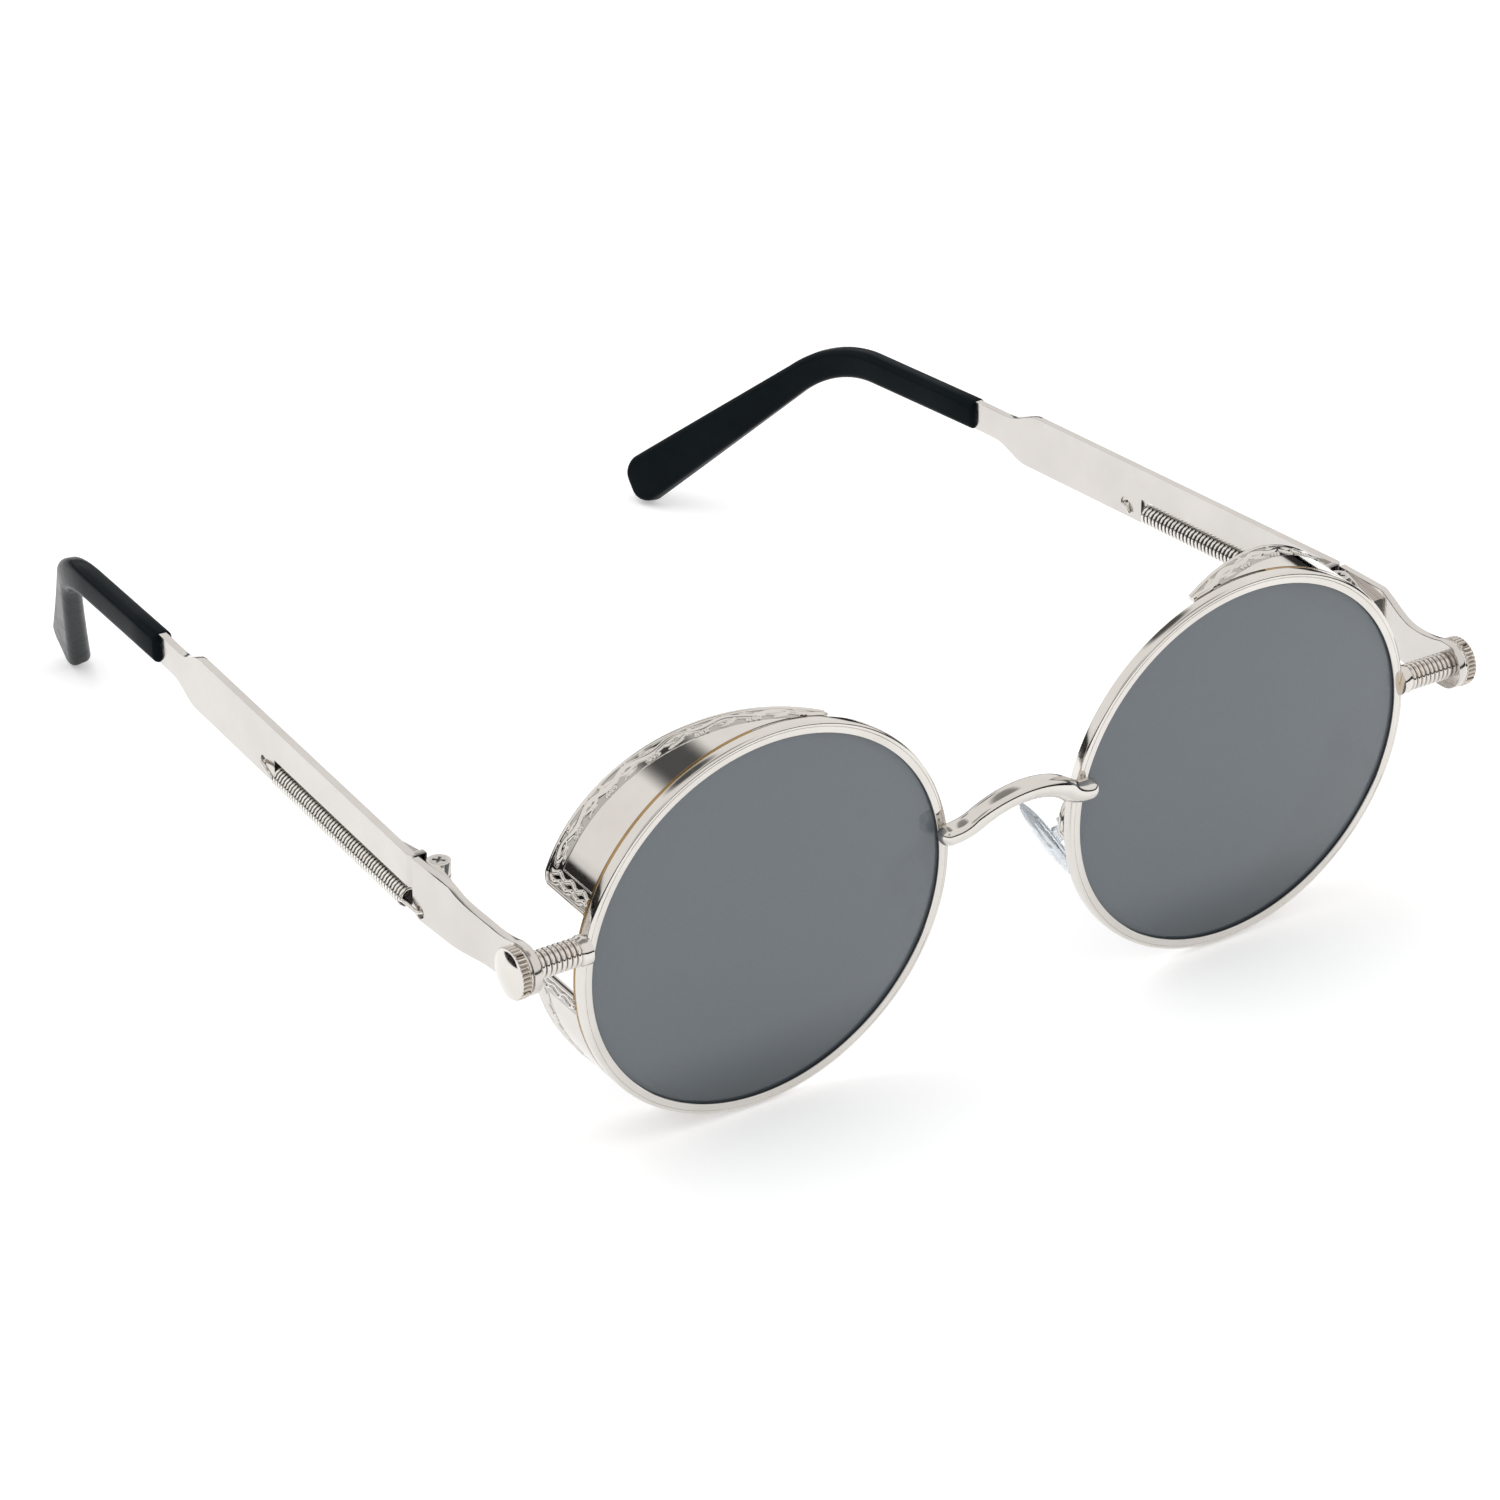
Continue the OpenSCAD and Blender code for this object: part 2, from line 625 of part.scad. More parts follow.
// Plan of the end piece: a strip that steps outward behind the stud
module end_plan() {
    steps = 12;
    outer = concat(
        [[plate_out_x, stud_y - end_r - cut]],
        [for (i = [0:steps])
            [plate_out_x + joggle * ease(i / steps), stud_y + joggle_start + joggle_len * i / steps]],
        [[temple_out_x, end_rear_y]]
    );
    last = len(outer) - 1;
    polygon(concat(outer, [for (i = [0:last]) outer[last - i] - [plate_t, 0]]));
}

// Side outline of the end piece: round end, dipped top edge, full height at the hinge, hook tab
module end_outline() {
    dip_y = stud_y + joggle_start;
    dip_z = stud_z + end_r - top_dip;
    tab_z = temple_low + hook_front_up;
    steps = 12;
    end_turn = 90 / steps;
    polygon(concat(
        [for (i = [0:2 * steps]) [stud_y - end_r * sin(end_turn * i), stud_z - end_r * cos(end_turn * i)]],
        curve([stud_y + end_r / 3, stud_z + end_r], [dip_y - end_r / 2, dip_z],
            [dip_y + joggle_len / 4, dip_z], [joggle_end, temple_top], steps),
        [[end_rear_y, temple_top], [end_rear_y, tab_z]],
        [for (i = [0:steps])
            [end_rear_y - hook_ahead * (1 - cos(end_turn * i)), tab_z - hook_front_up * sin(end_turn * i)]],
        curve([joggle_end, temple_low], [dip_y, temple_low], [dip_y, stud_z - end_r],
            [stud_y + end_r / 3, stud_z - end_r], steps)
    ));
}

// The end piece that the knob clamps to the stud and that carries the hinge
module end_piece(side)
    color(silver) on_side(side) difference() {
        intersection() {
            translate([0, 0, -far / 2]) linear_extrude(far) end_plan();
            translate([plate_in_x - cut, 0, 0]) rotate([90, 0, 90]) linear_extrude(far) end_outline();
        }
        translate([plate_in_x - cut, stud_y, stud_z]) rotate([0, 90, 0])
            cylinder(d = shank_d + hole_spare, h = plate_t + 2 * cut);
        translate([temple_in_x - cut, end_rear_y - hook_ahead, temple_low + hook_front_up])
            rotate([0, 90, 0]) cylinder(d = hook_hole_d, h = plate_t + 2 * cut);
    }

// A round part of the hinge barrel between two heights
module barrel(d, low, high) translate([pin_x, pin_y, low]) cylinder(d = d, h = high - low);

// The hinge leaf on the end piece, with the top and bottom knuckles
module front_leaf(side)
    color(silver) on_side(side) difference() {
        union() {
            translate([temple_in_x - leaf_t, pin_y - leaf_len, barrel_low])
                cube([leaf_t, leaf_len, barrel_h]);
            barrel(barrel_d, barrel_low, barrel_low + knuckle_h);
            barrel(barrel_d, barrel_top - knuckle_h, barrel_top);
        }
        barrel(barrel_d + 2 * barrel_clear, mid_low - knuckle_gap, mid_low + mid_knuckle_h + knuckle_gap);
        barrel(pin_d + 2 * pin_clear, barrel_low - cut, barrel_top + cut);
        barrel(screw_head_d, barrel_top - screw_head_h, barrel_top + cut);
    }

// The hinge leaf on the temple, with the middle knuckle
module rear_leaf(side)
    color(silver) on_side(side) difference() {
        union() {
            barrel(barrel_d, mid_low, mid_low + mid_knuckle_h);
            translate([pin_x + barrel_d / 2 - leaf_t, pin_y, mid_low])
                cube([leaf_t, seam_y + plate_t - pin_y, mid_knuckle_h]);
            at_temple() translate([-plate_t - leaf_t, plate_t, notch_top])
                cube([leaf_t, leaf_len, barrel_top - notch_top]);
        }
        barrel(pin_d + 2 * pin_clear, barrel_low - cut, barrel_top + cut);
    }

// The hinge screw with its cross recess
module hinge_screw(side) {
    slot_w = screw_head_d / 5;
    slot_len = screw_head_d * 3 / 4;
    color(steel) on_side(side) difference() {
        union() {
            barrel(pin_d, barrel_low, barrel_top - screw_head_h);
            barrel(screw_head_d, barrel_top - screw_head_h, barrel_top);
        }
        for (turn = [45, 135]) translate([pin_x, pin_y, barrel_top]) rotate([0, 0, turn])
            cube([slot_len, slot_w, screw_head_h], center = true);
    }
}

// Side outline of the temple: plate, notch for the spring, shoulders and neck
module temple_outline() {
    steps = 10;
    neck_top = temple_z + neck_h / 2;
    neck_low = temple_z - neck_h / 2;
    polygon(concat(
        [[0, temple_top]],
        [for (i = [0:steps]) [temple_len + shoulder_len * i / steps,
            temple_top + (neck_top - temple_top) * ease(i / steps)]],
        [[neck_end, neck_top], [neck_end, neck_low]],
        [for (i = [0:steps]) [temple_len + shoulder_shift + shoulder_len * (1 - i / steps),
            neck_low + (temple_low - neck_low) * ease(i / steps)]],
        [[notch_len, temple_low], [notch_len, notch_top], [0, notch_top]]
    ));
}

// Plan of the temple's front end: the plate with its flange folded inward round a curved corner
module temple_plan() {
    translate([-plate_t, plate_t]) square([plate_t, 2 * far]);
    translate([-plate_t - flange_in, 0]) square([flange_in, plate_t]);
    intersection() {
        translate([-plate_t, plate_t]) circle(r = plate_t);
        translate([-plate_t, 0]) square(plate_t);
    }
}

// The core bar through the sleeve, a rectangle with round corners and a margin all round: straight,
// round the ear bend, and straight again
module core_bar(first, last, margin) {
    bend_steps = 9;
    start = bend_point(0);
    w = core_t + 2 * margin;
    h = core_h + 2 * margin;
    r = core_t / 4;
    at_sleeve() skin(concat(
        [sleeve_ring([0, first, 0], start[1], start[2], w, h, r)],
        [for (i = [0:bend_steps]) let (p = bend_point(ear_bend * i / bend_steps))
            sleeve_ring(p[0], p[1], p[2], w, h, r)],
        [sleeve_ring(bend_end[0] + bend_end[1] * last, bend_end[1], bend_end[2], w, h, r)]
    ));
}

// The temple: stamped plate with notch, hook hole and folded flange, and the core bar in the sleeve
module temple(side)
    color(silver) on_side(side) at_temple() difference() {
        union() {
            intersection() {
                translate([0, 0, -far / 2]) linear_extrude(far) temple_plan();
                translate([-far / 2, 0, 0]) rotate([90, 0, 90]) linear_extrude(far) temple_outline();
            }
            core_bar(-cut / 2, core_past, 0);
        }
        translate([-plate_t - flange_in - cut, -cut, mid_low - knuckle_gap])
            cube([flange_in + cut, plate_t + cut, mid_knuckle_h + 2 * knuckle_gap]);
        translate([-plate_t - cut, rear_hole_y, temple_low + hook_rear_up])
            rotate([0, 90, 0]) cylinder(d = hook_hole_d, h = plate_t + 2 * cut);
    }

// A ring of the sleeve's skin: a rectangle with round corners across the direction of the sleeve
function sleeve_ring(middle, along, side, w, h, r) = let (
    steps = 6,
    up = cross(along, side)
) [for (corner = [[1, 1], [-1, 1], [-1, -1], [1, -1]], i = [0:steps])
    let (turn = atan2(corner[1], corner[0]) - 45 + 90 * i / steps)
    middle + side * (corner[0] * (w / 2 - r) + r * cos(turn))
        + up * (corner[1] * (h / 2 - r) + r * sin(turn))];

// The rings of the sleeve, from its mouth round the ear bend and along the turning paddle to its end
function sleeve_rings() = let (
    bend_steps = 9,
    paddle_steps = 5,
    end_steps = 6,
    start = bend_point(0)
) concat(
    [sleeve_ring([0, 0, 0], start[1], start[2], sleeve_w, sleeve_h, sleeve_edge_r)],
    [for (i = [0:bend_steps]) let (p = bend_point(ear_bend * i / bend_steps))
        sleeve_ring(p[0], p[1], p[2], sleeve_w, sleeve_h, sleeve_edge_r)],
    [for (i = [1:paddle_steps - 1]) let (t = i / paddle_steps)
        sleeve_ring(bend_end[0] + bend_end[1] * paddle_len * t, bend_end[1], paddle_side(paddle_turn * t),
            sleeve_w + (paddle_t - sleeve_w) * t, sleeve_h + (paddle_w - sleeve_h) * t,
            sleeve_edge_r + (paddle_edge_r - sleeve_edge_r) * t)],
    [for (i = [0:end_steps]) let (
        a = 90 * i / end_steps,
        edge = max(0, paddle_edge_r - paddle_corner_r * (1 - sin(a))),
        w = paddle_t - 2 * (paddle_edge_r - sqrt(pow(paddle_edge_r, 2) - edge * edge))
    ) sleeve_ring(bend_end[0] + bend_end[1] * (paddle_len + paddle_corner_r * sin(a)), bend_end[1],
        paddle_side(paddle_turn), w, paddle_w - 2 * paddle_corner_r * (1 - cos(a)), min(paddle_edge_r, w / 2))]
);

// The black sleeve with its paddle end
module temple_tip(side)
    color(gloss_black) on_side(side) at_temple() difference() {
        at_sleeve() skin(sleeve_rings());
        core_bar(-cut, core_past + core_clear, core_clear);
    }

// Half a turn of the spring's hooks, from the outer or inner side round to the other
function hook(x, y, z, out, back) = [for (i = [0:turn_rings]) let (a = 180 * i / turn_rings)
    [x + out * coil_r * cos(a), y + back * coil_r * sin(a), z]];

// The centre line of a spring, from the free end of its front hook to that of its rear hook
function spring_line() = let (
    front = [mid_plate + front_skew, front_hole_y - hook_off + coil_r, temple_low + hook_front_up],
    rear = [mid_plate, rear_hole_y + hook_off - coil_r, temple_low + hook_rear_up],
    steps = spring_turns * turn_rings
) concat(
    [front + [coil_r, hook_free, 0]],
    hook(front[0], front[1], front[2], 1, -1),
    [for (i = [0:steps]) let (a = 360 * i / turn_rings)
        [mid_plate - coil_r * cos(a), coil_front + (coil_rear - coil_front) * i / steps,
         spring_z + coil_r * sin(a)]],
    hook(rear[0], rear[1], rear[2], -1, 1),
    [rear + [coil_r, -hook_free, 0]]
);

// Least clear space between stretches of a tube that are not neighbours along it
function self_gap(line, d, apart) =
    min([for (i = [0:len(line) - 1 - apart])
        min([for (j = [i + apart:len(line) - 1]) norm(line[i] - line[j])])]) - d;

// The coil spring in the temple's notch, hooked through end piece and temple
module temple_spring(side) {
    line = spring_line();
    half_turn = turn_rings / 2;
    echo(least_gap_between_turns = self_gap(line, spring_wire, half_turn + 1));
    color(steel) on_side(side) at_temple() tube(line, [for (p = line) spring_wire], wire_sides);
}

// The goose-necked arm that carries the pad box, its foot on the back of the rim
module pad_arm(side) {
    steps = 12;
    back = [0, cos(front_tilt), sin(front_tilt)];
    up = [0, -sin(front_tilt), cos(front_tilt)];
    foot = [eye_x - rim_mid_r * cos(arm_foot_angle), 0, 0] + back * rim_depth
        - up * rim_mid_r * sin(arm_foot_angle);
    join = pad_point([box_end - box_wall / 2, 0, 0]);
    out = pad_point([box_end + arm_rise, 0, 0]) - join;
    neck = curve(foot + back * arm_d, foot + back * arm_d * 2 + up * arm_rise * 2,
        join + out + up * arm_rise, join, steps);
    line = concat([foot], neck);
    color(silver) on_side(side) difference() {
        union() {
            tube(line, [for (p = line) arm_d], arm_sides);
            at_pad() translate([box_out, -box_w / 2, -box_h / 2]) cube([box_end - box_out, box_w, box_h]);
        }
        at_pad() translate([box_out - cut, -tab_w / 2 - tab_clear, -box_h / 2 - cut])
            cube([slot_end - box_out + cut, tab_w + 2 * tab_clear, box_h + 2 * cut]);
        at_pad() translate([pivot_out, -box_w, 0]) rotate([-90, 0, 0])
            cylinder(d = pad_screw_d, h = 2 * box_w);
    }
}

// The clear nose pad: a teardrop cushion with a drilled round tab on its back
module nose_pad(side) {
    top_w = pad_w * pad_taper;
    top_t = pad_t * (1 + pad_taper) / 2;
    color(clear_plastic) on_side(side) at_pad() difference() {
        union() {
            hull() {
                translate([0, 0, (pad_len - top_w) / 2])
                    resize([top_t, top_w, top_w]) sphere(d = top_w, $fn = round_fn);
                translate([0, 0, (pad_w - pad_len) / 2])
                    resize([pad_t, pad_w, pad_w]) sphere(d = pad_w, $fn = round_fn);
            }
            translate([0, -tab_w / 2, -tab_r]) cube([pivot_out, tab_w, 2 * tab_r]);
            translate([pivot_out, -tab_w / 2, 0]) rotate([-90, 0, 0]) cylinder(r = tab_r, h = tab_w);
        }
        translate([pivot_out, -box_w, 0]) rotate([-90, 0, 0])
            cylinder(d = pad_screw_d + 2 * pin_clear, h = 2 * box_w);
    }
}

// The tiny screw through pad box and tab
module pad_screw(side)
    color(steel) on_side(side) at_pad() translate([pivot_out, -box_w / 2, 0]) rotate([-90, 0, 0]) {
        cylinder(d = pad_screw_d, h = box_w);
        translate([0, 0, -pad_head_h]) cylinder(d = pad_head_d, h = pad_head_h);
    }

rim(1);  // left_rim
rim(-1);  // right_rim
lens(1);  // left_lens
lens(-1);  // right_lens
bridge();
upper_shield(1);  // left_upper_shield
upper_shield(-1);  // right_upper_shield
lower_shield(1);  // left_lower_shield
lower_shield(-1);  // right_lower_shield
stud(1);  // left_stud
stud(-1);  // right_stud
knob(1);  // left_knob
knob(-1);  // right_knob
end_piece(1);  // left_end_piece
end_piece(-1);  // right_end_piece
front_leaf(1);  // left_front_leaf
front_leaf(-1);  // right_front_leaf
hinge_screw(1);  // left_hinge_screw
hinge_screw(-1);  // right_hinge_screw
pad_arm(1);  // left_pad_arm
pad_arm(-1);  // right_pad_arm
nose_pad(1);  // left_nose_pad
nose_pad(-1);  // right_nose_pad
pad_screw(1);  // left_pad_screw
pad_screw(-1);  // right_pad_screw
temple(1);  // left_temple
temple(-1);  // right_temple
rear_leaf(1);  // left_rear_leaf
rear_leaf(-1);  // right_rear_leaf
temple_spring(1);  // left_temple_spring
temple_spring(-1);  // right_temple_spring
temple_tip(1);  // left_temple_tip
temple_tip(-1);  // right_temple_tip
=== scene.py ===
"""Round metal glasses with side shields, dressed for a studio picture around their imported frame.

All sizes are millimetres until they are put into a mesh, which is in metres. The wearer's left side is
modelled and the right side is its mirror image.
"""

import logging
import math
from contextlib import contextmanager
from dataclasses import dataclass
from enum import Enum
from typing import Callable, Iterable, Iterator, Sequence

import bmesh
import bpy
from mathutils import Matrix, Vector


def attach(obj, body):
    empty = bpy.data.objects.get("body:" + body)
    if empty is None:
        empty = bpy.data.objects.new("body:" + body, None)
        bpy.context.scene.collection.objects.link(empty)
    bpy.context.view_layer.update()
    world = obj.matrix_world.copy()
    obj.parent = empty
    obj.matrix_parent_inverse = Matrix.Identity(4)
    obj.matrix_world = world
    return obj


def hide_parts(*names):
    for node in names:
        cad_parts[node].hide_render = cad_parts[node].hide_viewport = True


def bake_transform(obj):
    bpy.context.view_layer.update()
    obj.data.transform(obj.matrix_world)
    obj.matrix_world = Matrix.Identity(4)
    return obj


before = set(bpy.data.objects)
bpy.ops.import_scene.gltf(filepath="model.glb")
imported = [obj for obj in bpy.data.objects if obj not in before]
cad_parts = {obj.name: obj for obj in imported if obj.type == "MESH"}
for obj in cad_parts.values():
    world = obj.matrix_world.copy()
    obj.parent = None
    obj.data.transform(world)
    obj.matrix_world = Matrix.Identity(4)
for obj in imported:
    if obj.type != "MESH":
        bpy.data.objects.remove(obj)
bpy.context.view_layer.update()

MM = 0.001
LOG = logging.getLogger("glasses")
Point = Sequence[float]
Ring = list[Vector]
Profile = list[tuple[float, float]]
Piece = bpy.types.Object
Socket = bpy.types.NodeSocket
Node = bpy.types.Node
Material = bpy.types.Material
Colour = tuple[float, float, float]


class Side(Enum):
    """The two sides of the glasses, as the wearer names them."""

    LEFT = "left"
    RIGHT = "right"


# ---------------------------------------------------------------- places


@dataclass(frozen=True)
class Stations:
    """Where the sub-assemblies stand, in millimetres, before the glasses are set on the table."""

    middle_y: float = 75.2669
    table_z: float = 25.8874
    eye_x: float = 35.0
    tilt: float = 4.0
    rim_in_r: float = 24.45
    rim_out_r: float = 25.9
    rim_depth: float = 1.5
    stud_y: float = 0.4
    stud_z: float = 4.1
    plate_in_x: float = 67.7
    plate_t: float = 1.05
    temple_out_x: float = 69.75
    seam_y: float = 22.9
    toe_in: float = 4.65
    temple_z: float = 5.0
    temple_h: float = 7.6

    @property
    def table(self) -> Matrix:
        """Turns the drawing's frame into the frame of the table."""
        return Matrix.Translation((0, -self.middle_y * MM, self.table_z * MM))

    @property
    def front(self) -> Matrix:
        """Frame of the tilted front: X to the wearer's left, Y back, Z up."""
        return self.table @ Matrix.Rotation(math.radians(self.tilt), 4, "X")

    @property
    def lens(self) -> Matrix:
        """Frame of the left lens, with its origin on the lens axis at the front of the rim."""
        return self.front @ Matrix.Translation((self.eye_x * MM, 0, 0))

    @property
    def temple(self) -> Matrix:
        """Frame of the open left temple, with its origin at the seam on the outer face."""
        place = Matrix.Translation((self.temple_out_x * MM, self.seam_y * MM, 0))
        return self.table @ place @ Matrix.Rotation(math.radians(self.toe_in), 4, "Z")

    @property
    def temple_low(self) -> float:
        """Height of the lower edge of the temple above the lens centres."""
        return self.temple_z - self.temple_h / 2


AT = Stations()


# ---------------------------------------------------------------- workbench


def deselect() -> None:
    """Deselects every object."""
    bpy.ops.object.select_all(action="DESELECT")


def pick(obj: Piece) -> None:
    """Makes one object the only selected one, and active.

    Args:
        obj: The object to work on.
    """
    deselect()
    obj.select_set(True)
    bpy.context.view_layer.objects.active = obj


def named(name: str, obj: Piece | None = None) -> Piece:
    """Names an object and its mesh.

    Args:
        name: The name.
        obj: The object, or None for the one that the last operator added.

    Returns:
        The named object.
    """
    obj = obj or bpy.context.active_object
    obj.name = name
    obj.data.name = name
    return obj


@contextmanager
def editing(obj: Piece, select: str = "SELECT") -> Iterator[None]:
    """Opens a mesh in edit mode, and closes it again.

    Args:
        obj: A mesh object.
        select: SELECT to start with all of it selected, DESELECT for none of it.

    Returns:
        A context, for a with block that works on the mesh.
    """
    pick(obj)
    bpy.ops.object.mode_set(mode="EDIT")
    bpy.ops.mesh.select_all(action=select)
    yield
    bpy.ops.object.mode_set(mode="OBJECT")


def close_up(obj: Piece, gap: float = 1e-6, fill: bool = False) -> None:
    """Merges doubles, closes open ends and turns all faces outward.

    Args:
        obj: A mesh object.
        gap: Distance under which two vertices are one, in metres.
        fill: Whether open ends are closed with a face.
    """
    with editing(obj):
        bpy.ops.mesh.remove_doubles(threshold=gap)
        if fill:
            bpy.ops.mesh.fill_holes(sides=0)
            bpy.ops.mesh.select_all(action="SELECT")
        bpy.ops.mesh.normals_make_consistent(inside=False)


def smooth(obj: Piece, angle: float = 35.0) -> Piece:
    """Shades a mesh smooth, except across edges sharper than an angle.

    Args:
        obj: A mesh object.
        angle: The angle in degrees.

    Returns:
        The same object.
    """
    pick(obj)
    bpy.ops.object.shade_smooth_by_angle(angle=math.radians(angle))
    return obj


def lathe(
    name: str, profile: Sequence[Point], steps: int, start: float = 0.0, turn: float = 360.0
) -> Piece:
    """Spins a closed profile about the Y axis.

    Args:
        name: Name of the new object.
        profile: Corners of the profile as (radius, station along Y), in millimetres.
        steps: Number of steps of the spin.
        start: Clock angle of the start, in degrees from X towards Z.
        turn: Angle of the spin in degrees.

    Returns:
        The turned part, its faces outward.
    """
    deselect()
    bpy.ops.mesh.primitive_circle_add(vertices=len(profile), radius=MM)
    obj = named(name)
    a = math.radians(start)
    for vertex, (r, y) in zip(obj.data.vertices, profile):
        vertex.co = (r * MM * math.cos(a), y * MM, r * MM * math.sin(a))
    with editing(obj):
        bpy.ops.mesh.spin(
            steps=steps, angle=-math.radians(turn), center=(0, 0, 0), axis=(0, 1, 0), use_auto_merge=True
        )
    close_up(obj, fill=turn < 360)
    return obj


def loft(name: str, rings: Sequence[Ring]) -> Piece:
    """Extrudes a first ring of points through the places of all the others.

    Args:
        name: Name of the new object.
        rings: Rings with equal numbers of points, in millimetres.

    Returns:
        The lofted part, its ends closed and its faces outward.
    """
    deselect()
    bpy.ops.mesh.primitive_circle_add(vertices=len(rings[0]), radius=MM)
    obj = named(name)
    with editing(obj):
        for _ in rings[1:]:
            bpy.ops.mesh.extrude_edges_move()
    for vertex, point in zip(obj.data.vertices, (p for ring in rings for p in ring)):
        vertex.co = point * MM
    close_up(obj, fill=True)
    return obj


def wire(name: str, path: Iterable[Point], width: float, sides: int = 8) -> Piece:
    """Bends a round wire along a path.

    Args:
        name: Name of the new object.
        path: Points of the middle line, in millimetres.
        width: Thickness of the wire in millimetres.
        sides: Number of faces round the wire, a multiple of four.

    Returns:
        The wire as a closed mesh.
    """
    deselect()
    bpy.ops.curve.primitive_bezier_curve_add()
    obj = bpy.context.active_object
    obj.data.splines.clear()
    points = [Vector(p) * MM for p in path]
    spline = obj.data.splines.new("POLY")
    spline.points.add(len(points) - 1)
    for knot, point in zip(spline.points, points):
        knot.co = (*point, 1)
    obj.data.bevel_depth = width / 2 * MM
    obj.data.bevel_resolution = sides // 2 - 2
    obj.data.use_fill_caps = True
    bpy.ops.object.convert(target="MESH")
    obj = named(name)
    close_up(obj, gap=1e-8)
    return obj


def placed(obj: Piece, frame_at: Matrix) -> Piece:
    """Puts a part's place into its mesh.

    Args:
        obj: A mesh object at the origin.
        frame_at: The frame that it was modelled in.

    Returns:
        The same object.
    """
    obj.data.transform(frame_at)
    obj.data.update()
    return obj


def joined(parts: Sequence[Piece]) -> Piece:
    """Joins several meshes into the first one.

    Args:
        parts: Mesh objects.

    Returns:
        The first object, with all the meshes.
    """
    pick(parts[0])
    for part in parts[1:]:
        part.select_set(True)
    bpy.ops.object.join()
    return parts[0]


def apply_modifiers(obj: Piece) -> None:
    """Applies all modifiers of a mesh in their order.

    Args:
        obj: A mesh object.
    """
    pick(obj)
    for modifier in list(obj.modifiers):
        bpy.ops.object.modifier_apply(modifier=modifier.name)


def softened(obj: Piece, width: float, segments: int = 2, angle: float = 40.0) -> Piece:
    """Rounds the sharp edges of a part.

    Args:
        obj: A mesh object.
        width: Width of the rounding in millimetres.
        segments: Number of faces across the rounding.
        angle: Edges sharper than this, in degrees, are rounded.

    Returns:
        The same object.
    """
    bevel = obj.modifiers.new("Bevel", "BEVEL")
    bevel.width = width * MM
    bevel.segments = segments
    bevel.limit_method = "ANGLE"
    bevel.angle_limit = math.radians(angle)
    bevel.use_clamp_overlap = True
    bevel.harden_normals = False
    apply_modifiers(obj)
    return obj


def copy_of(node: str, name: str) -> Piece:
    """Copies a node of the frame and merges its loose triangles into plain faces.

    Args:
        node: Name of the node.
        name: Name of the copy.

    Returns:
        The copy, ready for rounding.
    """
    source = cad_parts[node]
    obj = source.copy()
    obj.data = source.data.copy()
    obj.parent = None
    for key in list(obj.keys()):
        del obj[key]
    bpy.context.scene.collection.objects.link(obj)
    pick(named(name, obj))
    bpy.ops.mesh.customdata_custom_splitnormals_clear()
    with editing(obj):
        bpy.ops.mesh.remove_doubles(threshold=2e-7)
        bpy.ops.mesh.dissolve_limited(angle_limit=math.radians(0.8))
    return obj


def mirrored(obj: Piece, name: str, mirror: Matrix = Matrix.Scale(-1, 4, (1, 0, 0))) -> Piece:
    """Copies a part, with its own mesh, through a mirror.

    Args:
        obj: A finished part.
        name: Name of the copy.
        mirror: The mirroring, from left to right if none is given.

    Returns:
        The mirror image.
    """
    twin = obj.copy()
    twin.data = obj.data.copy()
    bpy.context.scene.collection.objects.link(twin)
    twin.data.transform(mirror)
    twin.data.flip_normals()
    return named(name, twin)


def rounded(corners: Sequence[tuple[float, float, float]], steps: int = 3) -> Profile:
    """Rounds the corners of a profile.

    Args:
        corners: Corners as (x, y, radius) in order.
        steps: Number of straight pieces in each round.

    Returns:
        The points of the rounded profile.
    """
    points = []
    for i, (x, y, r) in enumerate(corners):
        here = Vector((x, y))
        if r <= 0:
            points.append((x, y))
            continue
        back = (Vector(corners[i - 1][:2]) - here).normalized()
        ahead = (Vector(corners[(i + 1) % len(corners)][:2]) - here).normalized()
        half = back.angle(ahead) / 2
        reach = r / math.tan(half)
        centre = here + (back + ahead).normalized() * (r / math.sin(half))
        first = here + back * reach - centre
        last = here + ahead * reach - centre
        swing = first.angle_signed(last)
        for k in range(steps + 1):
            points.append(tuple(centre + Matrix.Rotation(-swing * k / steps, 2) @ first))
    return points


def cubic(a: Vector, b: Vector, c: Vector, d: Vector, count: int) -> list[Vector]:
    """Points of a cubic curve.

    Args:
        a: First end.
        b: Handle of the first end.
        c: Handle of the last end.
        d: Last end.
        count: Number of pieces.

    Returns:
        The points, both ends with them.
    """
    line = []
    for i in range(count + 1):
        t = i / count
        s = 1 - t
        line.append(a * s**3 + b * (3 * s * s * t) + c * (3 * s * t * t) + d * t**3)
    return line


def swell(x: float) -> float:
    """A round hump of height 1 over -1 to 1."""
    return math.sqrt(max(0.0, 1 - x * x)) if abs(x) < 1 else 0.0


def ease(t: float) -> float:
    """An S-shaped rise from 0 to 1."""
    t = min(1.0, max(0.0, t))
    return (1 - math.cos(math.pi * t)) / 2


# ---------------------------------------------------------------- finishes


